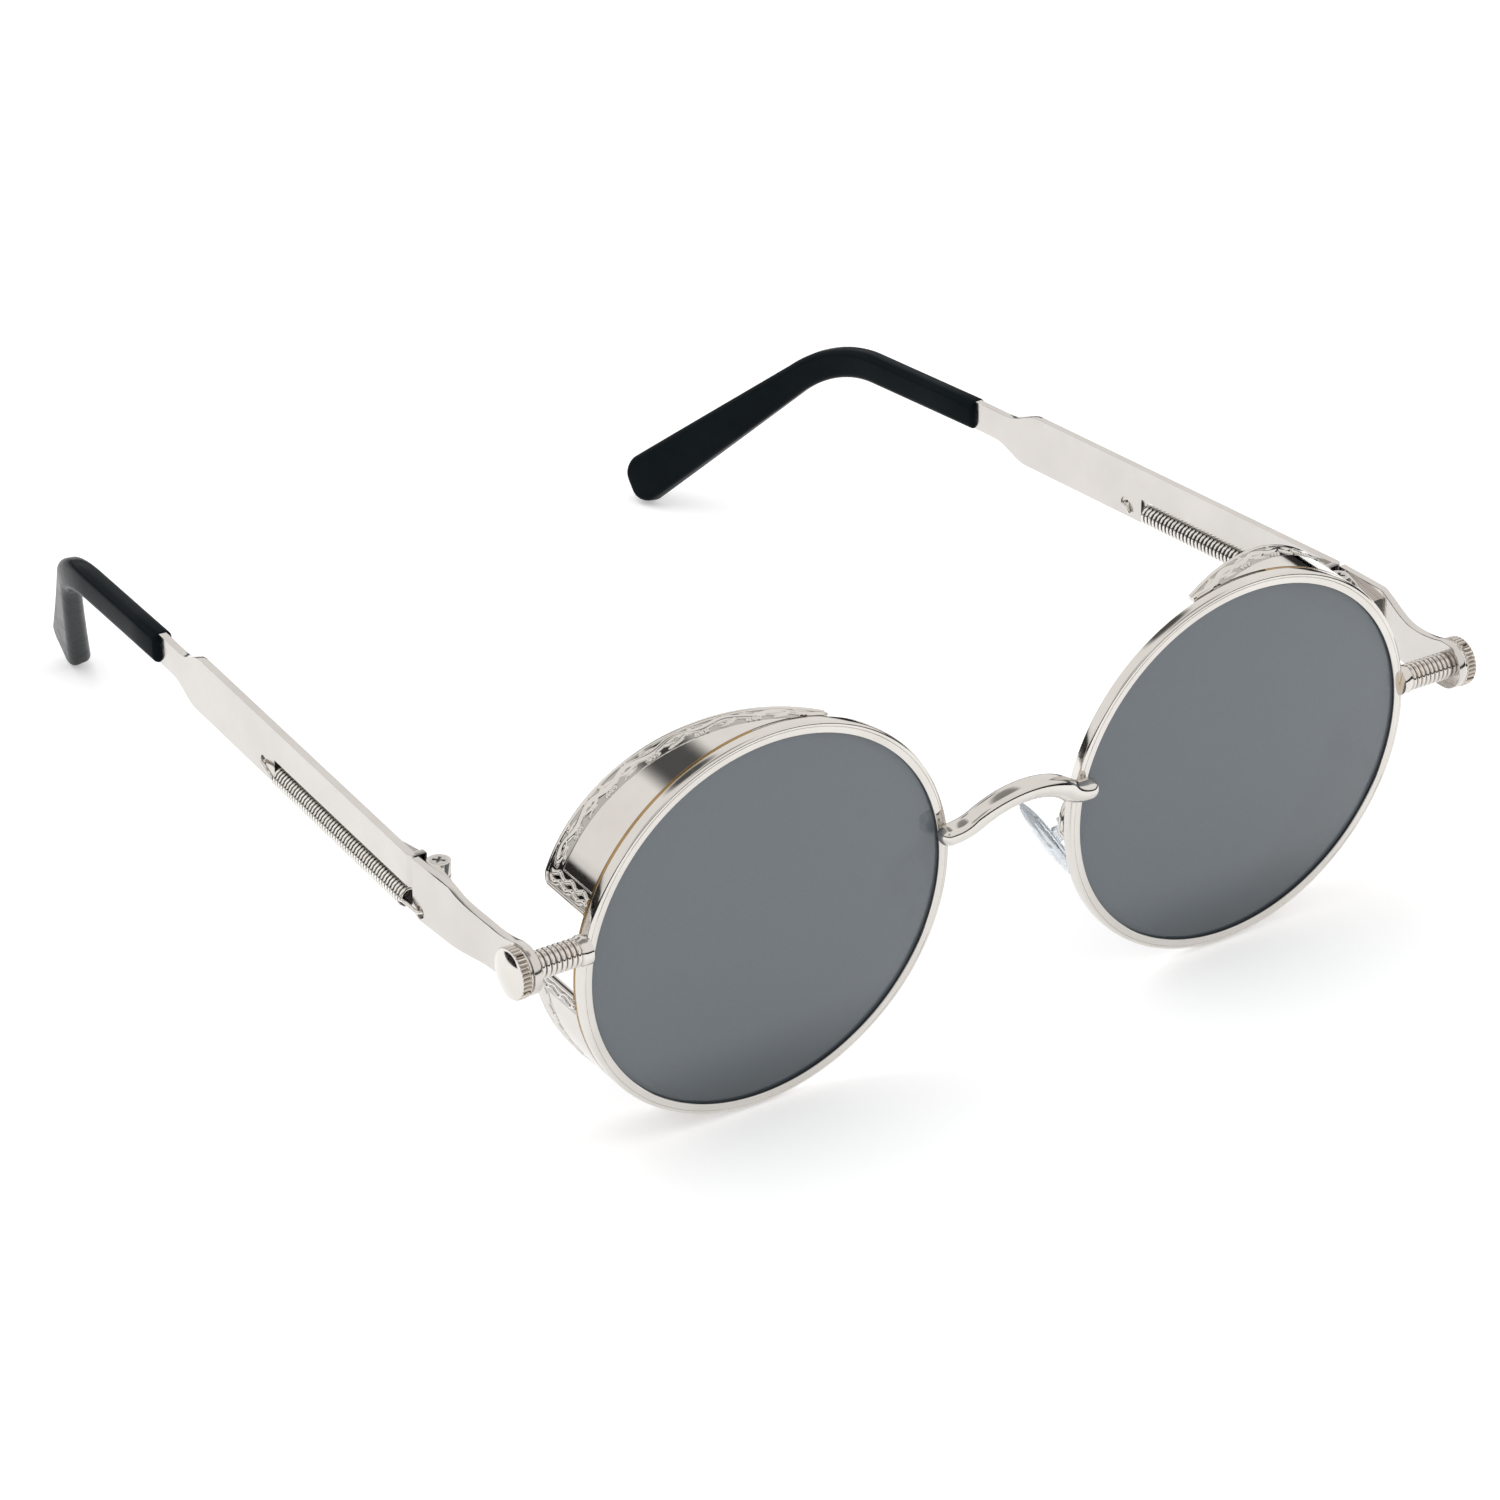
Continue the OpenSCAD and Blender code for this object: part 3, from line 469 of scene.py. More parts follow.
class Tree:
    """A small helper that wires up nodes."""

    def __init__(self, tree: bpy.types.NodeTree) -> None:
        """Starts with the tree of a material or of the world."""
        self.tree = tree

    def link(self, source: Socket, target: Socket) -> None:
        """Links two sockets."""
        self.tree.links.new(source, target)

    def add(self, kind: str, *sources: Socket, **settings: object) -> Node:
        """Adds a node.

        Args:
            kind: Type of the node.
            sources: What feeds its inputs, in their order.
            settings: Its properties, or values of its inputs by name with spaces as underscores.

        Returns:
            The node.
        """
        node = self.tree.nodes.new(kind)
        for key, value in settings.items():
            if hasattr(node, key):
                setattr(node, key, value)
            else:
                node.inputs[key.replace("_", " ")].default_value = value
        for source, target in zip(sources, node.inputs):
            self.link(source, target)
        return node

    def mix(self, factor: Socket, first: Colour | Socket, second: Colour | Socket) -> Socket:
        """Mixes two colours.

        Args:
            factor: Share of the second colour.
            first: The first colour.
            second: The second colour.

        Returns:
            The mixed colour.
        """
        node = self.add("ShaderNodeMix", factor, data_type="RGBA")
        slots = [s for s in node.inputs if s.type == "RGBA"]
        for socket, colour in zip(slots, (first, second)):
            if isinstance(colour, Socket):
                self.link(colour, socket)
            else:
                socket.default_value = (*colour, 1)
        return [s for s in node.outputs if s.type == "RGBA"][0]


class Nodes(Tree):
    """The nodes of one procedural material."""

    def __init__(self, name: str) -> None:
        """Makes a plain material.

        Args:
            name: Name of the material.
        """
        self.material = bpy.data.materials.new(name)
        self.material.use_nodes = True
        super().__init__(self.material.node_tree)
        self.shader = self.tree.nodes["Principled BSDF"]
        self.place = self.add("ShaderNodeTexCoord").outputs["Object"]

    def attribute(self, name: str) -> Socket:
        """An attribute of the mesh."""
        return self.add("ShaderNodeAttribute", attribute_name=name).outputs["Fac"]

    def noise(self, size: float, detail: float = 3.0) -> Socket:
        """A cloudy pattern.

        Args:
            size: Size of its features in millimetres.
            detail: Fineness of the pattern.

        Returns:
            The pattern, 0 to 1.
        """
        mapping = self.add("ShaderNodeMapping", self.place, vector_type="TEXTURE", Scale=[size * MM] * 3)
        noise = self.add("ShaderNodeTexNoise", mapping.outputs[0], Scale=1.0, Detail=detail, Roughness=0.6)
        return noise.outputs["Fac"]

    def remap(self, source: Socket, low: float, high: float) -> Socket:
        """Spreads the middle of a pattern over a range of values.

        Args:
            source: A pattern about 0.5.
            low: Value for the pattern's dark parts.
            high: Value for its light parts.

        Returns:
            The new values.
        """
        node = self.add(
            "ShaderNodeMapRange", source, clamp=True, From_Min=0.3, From_Max=0.7, To_Min=low, To_Max=high
        )
        return node.outputs["Result"]

    def bump(self, source: Socket, height: float) -> Socket:
        """Makes a pattern a relief.

        Args:
            source: The pattern.
            height: Height of the pattern in millimetres.

        Returns:
            The normal of the relief.
        """
        node = self.add("ShaderNodeBump", Strength=1.0, Distance=height * MM)
        self.link(source, node.inputs["Height"])
        return node.outputs["Normal"]

    def shaded(self, **values: object) -> Material:
        """Sets the shader's inputs.

        Args:
            values: Values or sockets for the inputs, by name with spaces as underscores.

        Returns:
            The finished material.
        """
        for key, value in values.items():
            target = self.shader.inputs[key.replace("_", " ")]
            if isinstance(value, Socket):
                self.link(value, target)
            else:
                target.default_value = value
        return self.material


@dataclass(frozen=True)
class PlatedMetal:
    """Polished plating with a faint ripple, fine polishing haze, brass showing where it is thin, and painted
    shade where it is marked.
    """

    name: str
    tone: Colour = (0.73, 0.70, 0.665)
    shade: Colour = (0.66, 0.63, 0.59)
    brass: Colour = (0.62, 0.36, 0.10)
    # Colour of the painted shade laid into grooves, hollows and gaps.
    painted_shade: Colour = (0.10, 0.095, 0.09)
    gloss: tuple[float, float] = (0.05, 0.13)
    haze_size: float = 0.9
    cloud_size: float = 9.0
    ripple: float = 0.0011
    ripple_size: float = 0.28

    def make(self) -> Material:
        """Builds the material: the clouded plating under painted shade, and brass over both.

        Returns:
            The material.
        """
        n = Nodes(self.name)
        tone = n.mix(n.remap(n.noise(self.cloud_size), 0, 1), self.tone, self.shade)
        # Painted shade: the marked share darkens the plating towards its shade colour.
        tone = n.mix(n.attribute("painted_shade"), tone, self.painted_shade)
        return n.shaded(
            Base_Color=n.mix(n.attribute("brass"), tone, self.brass),
            Roughness=n.remap(n.noise(self.haze_size, 6.0), *self.gloss),
            Metallic=1.0,
            Normal=n.bump(n.noise(self.ripple_size, 2.0), self.ripple),
        )


@dataclass(frozen=True)
class TintedGlass:
    """Dark mineral glass with a faint mirror coat, and a painted dark reflection that darkens it towards its
    lower edge.
    """

    name: str = "tinted_glass"
    tint: Colour = (0.180, 0.204, 0.226)
    # Colour of the painted dark reflection near the lower edge, and of the darkest grain.
    grain_and_dark_reflection: Colour = (0.085, 0.102, 0.118)
    see_through: float = 0.22
    low_edge: float = 1.0
    plain_from: float = 13.0
    grain_size: float = 0.25
    grain: float = 0.12
    haze_size: float = 2.0
    gloss: tuple[float, float] = (0.015, 0.035)

    def make(self) -> Material:
        """Builds the material: the tint by height above the table, darker low down as a painted reflection,
        with a fine grain.

        Returns:
            The material.
        """
        n = Nodes(self.name)
        place = n.add("ShaderNodeSeparateXYZ", n.place)
        height = n.add(
            "ShaderNodeMapRange",
            place.outputs["Z"],
            interpolation_type="SMOOTHSTEP",
            From_Min=self.low_edge * MM,
            From_Max=self.plain_from * MM,
        )
        # Painted reflection: the glass darkens towards its lower edge.
        tint = n.mix(height.outputs["Result"], self.grain_and_dark_reflection, self.tint)
        grain = n.remap(n.noise(self.grain_size, 2.0), 0.0, self.grain)
        return n.shaded(
            Base_Color=n.mix(grain, tint, self.grain_and_dark_reflection),
            Roughness=n.remap(n.noise(self.haze_size), *self.gloss),
            IOR=1.52,
            Transmission_Weight=self.see_through,
            Specular_IOR_Level=0.5,
        )


@dataclass(frozen=True)
class ClearPlastic:
    """Clear soft plastic with a cool cast and faint flow marks inside."""

    name: str = "clear_plastic"
    tone: Colour = (0.95, 0.975, 1.0)
    cool: Colour = (0.84, 0.90, 0.96)
    cast_size: float = 2.5
    haze_size: float = 0.8
    gloss: tuple[float, float] = (0.04, 0.14)
    see_through: float = 0.8
    wave: float = 0.02
    wave_size: float = 1.6

    def make(self) -> Material:
        """Builds the material.

        Returns:
            The material.
        """
        n = Nodes(self.name)
        return n.shaded(
            Base_Color=n.mix(n.remap(n.noise(self.cast_size), 0, 1), self.tone, self.cool),
            Roughness=n.remap(n.noise(self.haze_size), *self.gloss),
            IOR=1.38,
            Transmission_Weight=self.see_through,
            Normal=n.bump(n.noise(self.wave_size), self.wave),
        )


@dataclass(frozen=True)
class BlackSleeve:
    """Black acetate with slight waves from polishing."""

    name: str = "black_acetate"
    tone: Colour = (0.005, 0.0078, 0.0094)
    pale: Colour = (0.0068, 0.0100, 0.0118)
    cloud_size: float = 7.0
    haze_size: float = 1.5
    gloss: tuple[float, float] = (0.2, 0.3)
    shine: float = 0.025
    wave: float = 0.006
    wave_size: float = 3.0

    def make(self) -> Material:
        """Builds the material.

        Returns:
            The material.
        """
        n = Nodes(self.name)
        return n.shaded(
            Base_Color=n.mix(n.remap(n.noise(self.cloud_size), 0, 1), self.tone, self.pale),
            Roughness=n.remap(n.noise(self.haze_size, 5.0), *self.gloss),
            IOR=1.49,
            Specular_IOR_Level=self.shine,
            Normal=n.bump(n.noise(self.wave_size, 2.0), self.wave),
        )


@dataclass(frozen=True)
class Finishes:
    """All the materials of the glasses."""

    rim: Material
    shield: Material
    plate: Material
    turned: Material
    spring: Material
    screw: Material
    brass: Material
    glass: Material
    clear: Material
    sleeve: Material

    @staticmethod
    def make() -> "Finishes":
        """Builds every material once.

        Returns:
            The set of them.
        """
        return Finishes(
            # The rim's painted shade is near black.
            rim=PlatedMetal("rim_plating", painted_shade=(0.012, 0.012, 0.012)).make(),
            shield=PlatedMetal(
                "shield_plating", gloss=(0.03, 0.09), ripple=0.0007, ripple_size=0.12
            ).make(),
            plate=PlatedMetal(
                "plate_plating",
                tone=(0.66, 0.628, 0.6),
                shade=(0.6, 0.572, 0.546),
                gloss=(0.1, 0.2),
                ripple=0.0012,
                ripple_size=0.2,
            ).make(),
            turned=PlatedMetal("turned_plating", ripple=0.0004).make(),
            spring=PlatedMetal(
                "spring_wire",
                tone=(0.86, 0.83, 0.79),
                shade=(0.78, 0.75, 0.71),
                # Near-black painted shade for the gaps between the spring's turns.
                painted_shade=(0.035, 0.033, 0.03),
            ).make(),
            screw=PlatedMetal("screw_steel", tone=(0.62, 0.6, 0.58), shade=(0.5, 0.48, 0.46)).make(),
            brass=PlatedMetal(
                "brass_seam", tone=(0.44, 0.29, 0.13), shade=(0.3, 0.2, 0.09), gloss=(0.12, 0.25)
            ).make(),
            glass=TintedGlass().make(),
            clear=ClearPlastic().make(),
            sleeve=BlackSleeve().make(),
        )


def dress(
    obj: Piece, material: Material, slot: str, body: str, *nodes: str
) -> None:
    """Gives a piece its finish and its body, and hides the nodes that it stands for.

    Args:
        obj: The finished piece.
        material: Its material.
        slot: Not used.
        body: The body that it rides on.
        nodes: The nodes that it replaces.
    """
    obj.data.materials.clear()
    obj.data.materials.append(material)
    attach(obj, body)
    if nodes:
        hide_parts(*nodes)
    LOG.info("%s: %d faces, rides on %s", obj.name, len(obj.data.polygons), body)


def both(
    obj: Piece, stem: str, material: Material, slot: str, body: str, *nodes: str
) -> None:
    """Dresses a left part and its mirror image.

    Args:
        obj: The left part.
        stem: Name of the part without its side.
        material: Its material.
        slot: Not used.
        body: Body, with {side} where the side's name goes.
        nodes: Nodes that it replaces, without their side.
    """
    twins = {Side.LEFT: obj, Side.RIGHT: mirrored(obj, f"right_{stem}")}
    obj.name = f"left_{stem}"
    for side, piece in twins.items():
        sided = [f"{side.value}_{node}" for node in nodes]
        dress(piece, material, slot, body.format(side=side.value), *sided)


def marked(obj: Piece, name: str, share: Callable[[Vector], float]) -> None:
    """Marks where brass shows through thin plating, or where painted shade lies.

    Args:
        obj: A mesh object.
        name: "brass", or the attribute that holds painted shade.
        share: Share of it at a point of the mesh, given in millimetres.
    """
    marks = obj.data.attributes.new(name, "FLOAT", "POINT")
    for vertex, mark in zip(obj.data.vertices, marks.data):
        mark.value = share(vertex.co / MM)


# ---------------------------------------------------------------- front


@dataclass
class Rims:
    """The two rims with their lenses, each lens a little deeper than the lip that holds it."""

    groove_r: float = 25.0
    lens_t: float = 0.9
    lens_curve_r: float = 240.0
    recess: float = 0.22
    edge_r: float = 0.12
    face_r: float = 25.28
    line_w: float = 0.09
    line_depth: float = 0.08
    line_edge_r: float = 0.05
    shoulder_r: float = 0.42
    shoulder_y: float = 0.05
    back_r: float = 0.15
    around: int = 192
    dome_rings: int = 14

    @property
    def groove_y(self) -> float:
        """Depth of the groove behind the front of the rim."""
        return (AT.rim_depth - self.lens_t) / 2

    def profile(self) -> Profile:
        """Section of the rim: flat front, scribed line, round shoulder, and the lens groove.

        Returns:
            Corners as (radius, depth).
        """
        front = self.groove_y
        back = front + self.lens_t
        inner, outer, deep = AT.rim_in_r, AT.rim_out_r, AT.rim_depth
        return rounded(
            [
                (inner, 0, self.edge_r),
                (self.face_r, 0, self.line_edge_r),
                (self.face_r + self.line_w / 2, self.line_depth, 0),
                (self.face_r + self.line_w, 0.02, self.line_edge_r * 0.8),
                (outer, self.shoulder_y, self.shoulder_r),
                (outer, deep, self.back_r),
                (inner, deep, self.back_r),
                (inner, back, 0),
                (self.groove_r, back, 0),
                (self.groove_r, front, 0),
                (inner, front, 0),
            ],
            5,
        )

    def sag(self, r: float) -> float:
        """Depth of the lens curve at a radius."""
        return self.lens_curve_r - math.sqrt(self.lens_curve_r**2 - r * r)

    def lens_profile(self) -> Profile:
        """Half section of the domed lens, from its middle out to the groove and back.

        Returns:
            Corners as (radius, depth).
        """
        front, edge = self.groove_y, AT.rim_in_r
        radii = [edge * i / self.dome_rings for i in range(self.dome_rings + 1)]
        dome = [(r, front + self.sag(r) - self.sag(edge) + self.recess) for r in radii]
        rim = [(self.groove_r, front + self.recess), (self.groove_r, front + self.lens_t)]
        return dome + rim + [(r, y - self.recess + self.lens_t) for r, y in reversed(dome)]

    def shadow(self, p: Vector) -> float:
        """Share of painted shade on the rim: a near-black line where the lens groove lies in shade.

        Args:
            p: A point of the rim in millimetres.

        Returns:
            1 in the groove that holds the lens and low on the wall before it.
        """
        if math.hypot(p.x, p.z) > self.groove_r + 0.02:
            return 0.0
        return ease((p.y - 0.4 * self.groove_y) / (0.5 * self.groove_y))

    def build(self, finish: Finishes) -> None:
        """Makes the rims and lenses.

        Args:
            finish: The materials.
        """
        rim = lathe("left_rim_ring", self.profile(), self.around)
        # Painted shade: a near-black line in the lens groove and low on the wall before it.
        marked(rim, "painted_shade", self.shadow)
        smooth(rim, 50)
        both(placed(rim, AT.lens), "rim_ring", finish.rim, "rim_metal", "front", "rim")
        lens = smooth(lathe("left_lens_sheet", self.lens_profile(), self.around), 30)
        both(placed(lens, AT.lens), "lens_sheet", finish.glass, "tinted_lens", "front", "lens")


@dataclass
class Bridge:
    """The arched rod between the rims, a little flattened on its upper side."""

    width: float = 2.8
    end_z: float = 4.7
    rise: float = 3.8
    crown: float = 0.64
    lean: float = 16.0
    flat: float = 0.2
    sides: int = 40
    arc_steps: int = 16
    round_steps: int = 8
    crush: float = 0.9
    crush_left: float = 0.25
    end_turn: float = 88.0

    def half_line(self) -> list[tuple[float, float, float]]:
        """Half of the middle line, from the top out past the rim.

        Returns:
            Its points as (x, rise, thickness).
        """
        mid_r = (AT.rim_in_r + AT.rim_out_r) / 2
        half = AT.eye_x - math.sqrt(mid_r**2 - self.end_z**2)
        angle = 2 * math.atan(self.rise / half)
        arch_r = half / math.sin(angle)
        crown_r = arch_r * self.crown
        foot_r = arch_r - crown_r
        line = []
        for i in range(self.arc_steps + 1):
            a = angle * i / self.arc_steps
            line.append((crown_r * math.sin(a), self.rise - crown_r * (1 - math.cos(a)), self.width))
        for i in range(1, self.arc_steps + 1):
            a = angle * (1 - i / self.arc_steps)
            line.append((half - foot_r * math.sin(a), foot_r * (1 - math.cos(a)), self.width))
        for i in range(1, self.round_steps + 1):
            a = math.radians(self.end_turn) * i / self.round_steps
            line.append((half + self.width / 2 * math.sin(a), 0, self.width * math.cos(a)))
        return line

    def build(self, finish: Finishes) -> None:
        """Makes the rod.

        Args:
            finish: The materials.
        """
        half = self.half_line()
        whole = [(-x, z, d) for x, z, d in reversed(half)] + half[1:]
        lap = self.flat - self.width / 2
        lean = math.radians(self.lean)
        line = [Vector((x, lap - z * math.sin(lean), self.end_z + z * math.cos(lean))) for x, z, _ in whole]
        out = Vector((0, -math.cos(lean), -math.sin(lean)))
        rings = []
        for i, (point, (_, _, d)) in enumerate(zip(line, whole)):
            along = (line[min(i + 1, len(line) - 1)] - line[max(i - 1, 0)]).normalized()
            up = out.cross(along).normalized()
            up = up if up.z > 0 else -up
            ring = []
            for k in range(self.sides):
                a = 2 * math.pi * k / self.sides
                high = math.sin(a)
                high = high if high < self.crush else self.crush + (high - self.crush) * self.crush_left
                ring.append(point + (out * math.cos(a) + up * high) * (d / 2))
            rings.append(ring)
        rod = smooth(loft("bridge_rod", rings), 60)
        dress(placed(rod, AT.front), finish.rim, "rim_metal", "front", "bridge")


@dataclass(frozen=True)
class Strand:
    """A waving strand of the chased border: a round ridge that sways about its middle."""

    middle: float
    sway: float
    phase: float
    half_w: float
    rise: float

    def height(self, across: float, wave: float) -> float:
        """Height of the strand.

        Args:
            across: Distance from the edge that it runs along.
            wave: Place along its sway, as an angle.

        Returns:
            The height above the sheet.
        """
        line = self.middle + self.sway * math.sin(wave + self.phase)
        return self.rise * swell((across - line) / self.half_w)


@dataclass(frozen=True)
class Drop:
    """A bead or leaf that comes once in every length of the scroll."""

    at_u: float
    at_d: float
    long: float
    wide: float
    rise: float
    slope: float = 0.0

    def height(self, along: float, d: float) -> float:
        """Height of the bead or leaf.

        Args:
            along: Distance along the scroll from the middle of its stretch.
            d: Distance from the back edge.

        Returns:
            The height above the sheet.
        """
        off = d - (self.at_d - self.slope * along)
        return self.rise * swell(math.hypot((along - self.at_u) / self.long, off / self.wide))


@dataclass
class SideShields:
    """The four curved side shields with a chased border of scroll and beads, and a brass seam."""

    sheet_t: float = 0.6
    seam_rise: float = -0.03
    seam_lap: float = 0.06
    seam_steps: int = 90
    start_y: float = 1.85
    depth: float = 10.7
    slant: float = 18.8
    peak: float = 19.5
    gap_mid: float = 5.5
    gap: float = 24.0
    span: float = 91.0
    corner_r: float = 1.6
    border: float = 2.9
    lip: float = 0.14
    lip_at: float = 0.22
    lip_half: float = 0.25
    ground: float = 0.07
    ground_from: float = 0.4
    ground_edge: float = 0.12
    scroll_pitch: float = 6.1
    scroll_from: float = 2.3
    bead_shift: float = 0.28
    leaf_shift: float = 0.78
    end_pitch: float = 2.5
    end_from: float = 0.7
    vines: tuple[Strand, ...] = (Strand(1.28, 0.34, 0, 0.46, 0.25), Strand(1.38, -0.44, 0.2, 0.24, 0.19))
    beads: tuple[Drop, ...] = tuple(Drop(0.62 * k, 2.28 - 0.05 * k, 0.32, 0.32, 0.3) for k in (-1, 0, 1))
    leaves: tuple[Drop, ...] = (Drop(0, 2.2, 1.1, 0.2, 0.2, 0.22), Drop(2.6, 0.62, 0.5, 0.16, 0.16))
    end_waves: tuple[Strand, ...] = (Strand(1.02, 0.2, 0, 0.3, 0.25), Strand(1.98, 0.24, 1.5, 0.24, 0.22))
    columns: int = 480
    rows: int = 96
    border_rows: float = 0.52

    @property
    def start(self) -> float:
        """Clock angle of the gap end of the upper shield."""
        return self.gap_mid + self.gap / 2

    def back_y(self, angle: float, u: float) -> float:
        """Station of the back edge.

        Args:
            angle: Clock angle in degrees.
            u: Distance from the gap end along the sheet.

        Returns:
            The edge's distance behind the rim front.
        """
        turn = math.radians(angle - self.gap_mid - self.peak)
        edge = self.depth - AT.rim_out_r * (1 - math.cos(turn)) * math.tan(math.radians(self.slant))
        short = max(0.0, self.corner_r - u)
        return edge - (self.corner_r - math.sqrt(max(0.0, self.corner_r**2 - short * short)))

    def along(self, u: float, shift: float) -> float:
        """Distance from the middle of a stretch of the scroll that starts at a share of its pitch."""
        return ((u / self.scroll_pitch + shift) % 1.0 - 0.5) * self.scroll_pitch

    def relief(self, u: float, d: float) -> float:
        """Height of the chased ornament: a lip, a sunk ground, and what rises from the ground.

        Args:
            u: Distance from the gap end.
            d: Distance from the back edge.

        Returns:
            Height above the plain sheet.
        """
        near = min(d, u)
        if near > self.border + 0.2:
            return 0.0
        sunk = ease((near - self.ground_from) / self.ground_edge)
        sunk *= ease((self.border - near) / self.ground_edge)
        rises = [self.lip * swell((near - self.lip_at) / self.lip_half)]
        share = ease((u - self.scroll_from) / 1.2)
        if share > 0:
            wave = 2 * math.pi * u / self.scroll_pitch
            rises += [share * vine.height(d, wave) for vine in self.vines]
            rises += [share * bead.height(self.along(u, self.bead_shift), d) for bead in self.beads]
            rises += [share * leaf.height(self.along(u, self.leaf_shift), d) for leaf in self.leaves]
        if u < self.border:
            share = ease((d - self.end_from) / 0.8)
            wave = 2 * math.pi * d / self.end_pitch
            rises += [share * strand.height(u, wave) for strand in self.end_waves]
        return max(rises) - self.ground * sunk

    def row_place(self, t: float) -> float:
        """Crowds the rows of the sheet towards the border at its back edge.

        Args:
            t: Even place of a row, 0 at the rim and 1 at the back edge.

        Returns:
            Where the row lies.
        """
        share = 1 - (self.border + 0.4) / (self.depth - self.start_y)
        plain = 1 - self.border_rows
        if t < plain:
            return t / plain * share
        return share + (t - plain) / self.border_rows * (1 - share)

    def sheet(self) -> Piece:
        """The upper left shield.

        Returns:
            The shield in the frame of its lens.
        """
        deselect()
        bpy.ops.mesh.primitive_grid_add(x_subdivisions=self.columns, y_subdivisions=self.rows, size=MM)
        obj = named("left_upper_shield_sheet")
        for vertex in obj.data.vertices:
            s = vertex.co.x / MM + 0.5
            t = self.row_place(vertex.co.y / MM + 0.5)
            u = math.radians(self.span * s) * AT.rim_out_r
            back = self.back_y(self.start + self.span * s, u)
            y = self.start_y + (back - self.start_y) * t
            r = AT.rim_out_r + self.relief(u, back - y)
            a = math.radians(self.start + self.span * s)
            vertex.co = Vector((r * math.cos(a), y, r * math.sin(a))) * MM
        with editing(obj):
            bpy.ops.mesh.normals_make_consistent(inside=False)
        face = obj.data.polygons[0]
        if face.normal.x * face.center.x + face.normal.z * face.center.z < 0:
            obj.data.flip_normals()
        # Painted shade in the sunk ground of the border.
        marked(obj, "painted_shade", self.painted_shade)
        self.thicken(obj)
        return obj

    def painted_shade(self, p: Vector) -> float:
        """Share of painted shade: it darkens the sunk ground of the chased border.

        Args:
            p: A point of the outer side, in the frame of the lens.

        Returns:
            1 in the ground, 0 on the crests and on the plain field.
        """
        height = math.hypot(p.x, p.z) - AT.rim_out_r
        return 0.4 * ease(-height / self.ground) if height < 0 else 0.0

    def thicken(self, obj: Piece) -> None:
        """Gives the sheet a plain inner side at the sheet's thickness.

        Args:
            obj: The outer side of the sheet.
        """
        outer = len(obj.data.vertices)
        with editing(obj):
            bpy.ops.mesh.duplicate()
            bpy.ops.mesh.flip_normals()
        inner_r = (AT.rim_out_r - self.sheet_t) * MM
        for vertex in list(obj.data.vertices)[outer:]:
            flat = math.hypot(vertex.co.x, vertex.co.z)
            vertex.co.x *= inner_r / flat
            vertex.co.z *= inner_r / flat
        with editing(obj, "DESELECT"):
            bpy.ops.mesh.select_non_manifold(extend=False)
            bpy.ops.mesh.bridge_edge_loops()
            bpy.ops.mesh.select_all(action="DESELECT")

    def lowered(self, obj: Piece, name: str) -> Piece:
        """Copies an upper piece of the lens frame to the place of the lower one.

        Args:
            obj: The upper piece in the frame of its lens.
            name: Name of the lower piece.

        Returns:
            The lower piece.
        """
        turn = Matrix.Rotation(-math.radians(self.gap_mid), 4, "Y")
        return mirrored(obj, name, turn @ Matrix.Scale(-1, 4, (0, 0, 1)) @ turn.inverted())

    def build(self, finish: Finishes) -> None:
        """Makes the four shields and their brass seams.

        Args:
            finish: The materials.
        """
        upper = smooth(self.sheet(), 75)
        lower = self.lowered(upper, "left_lower_shield_sheet")
        low, high = AT.rim_out_r - self.sheet_t, AT.rim_out_r + self.seam_rise
        near, far = AT.rim_depth - self.seam_lap, self.start_y + self.seam_lap
        strip = rounded([(low, near, 0), (high, near, 0.06), (high, far, 0.06), (low, far, 0)])
        seam = smooth(lathe("left_upper_seam", strip, self.seam_steps, self.start, self.span), 50)
        low_seam = self.lowered(seam, "left_lower_seam")
        for piece, place in ((upper, "upper"), (lower, "lower")):
            stem = f"{place}_shield"
            both(placed(piece, AT.lens), f"{stem}_sheet", finish.shield, "shield_metal", "front", stem)
        for piece, place in ((seam, "upper"), (low_seam, "lower")):
            both(placed(piece, AT.lens), f"{place}_seam", finish.brass, "shield_metal", "front")


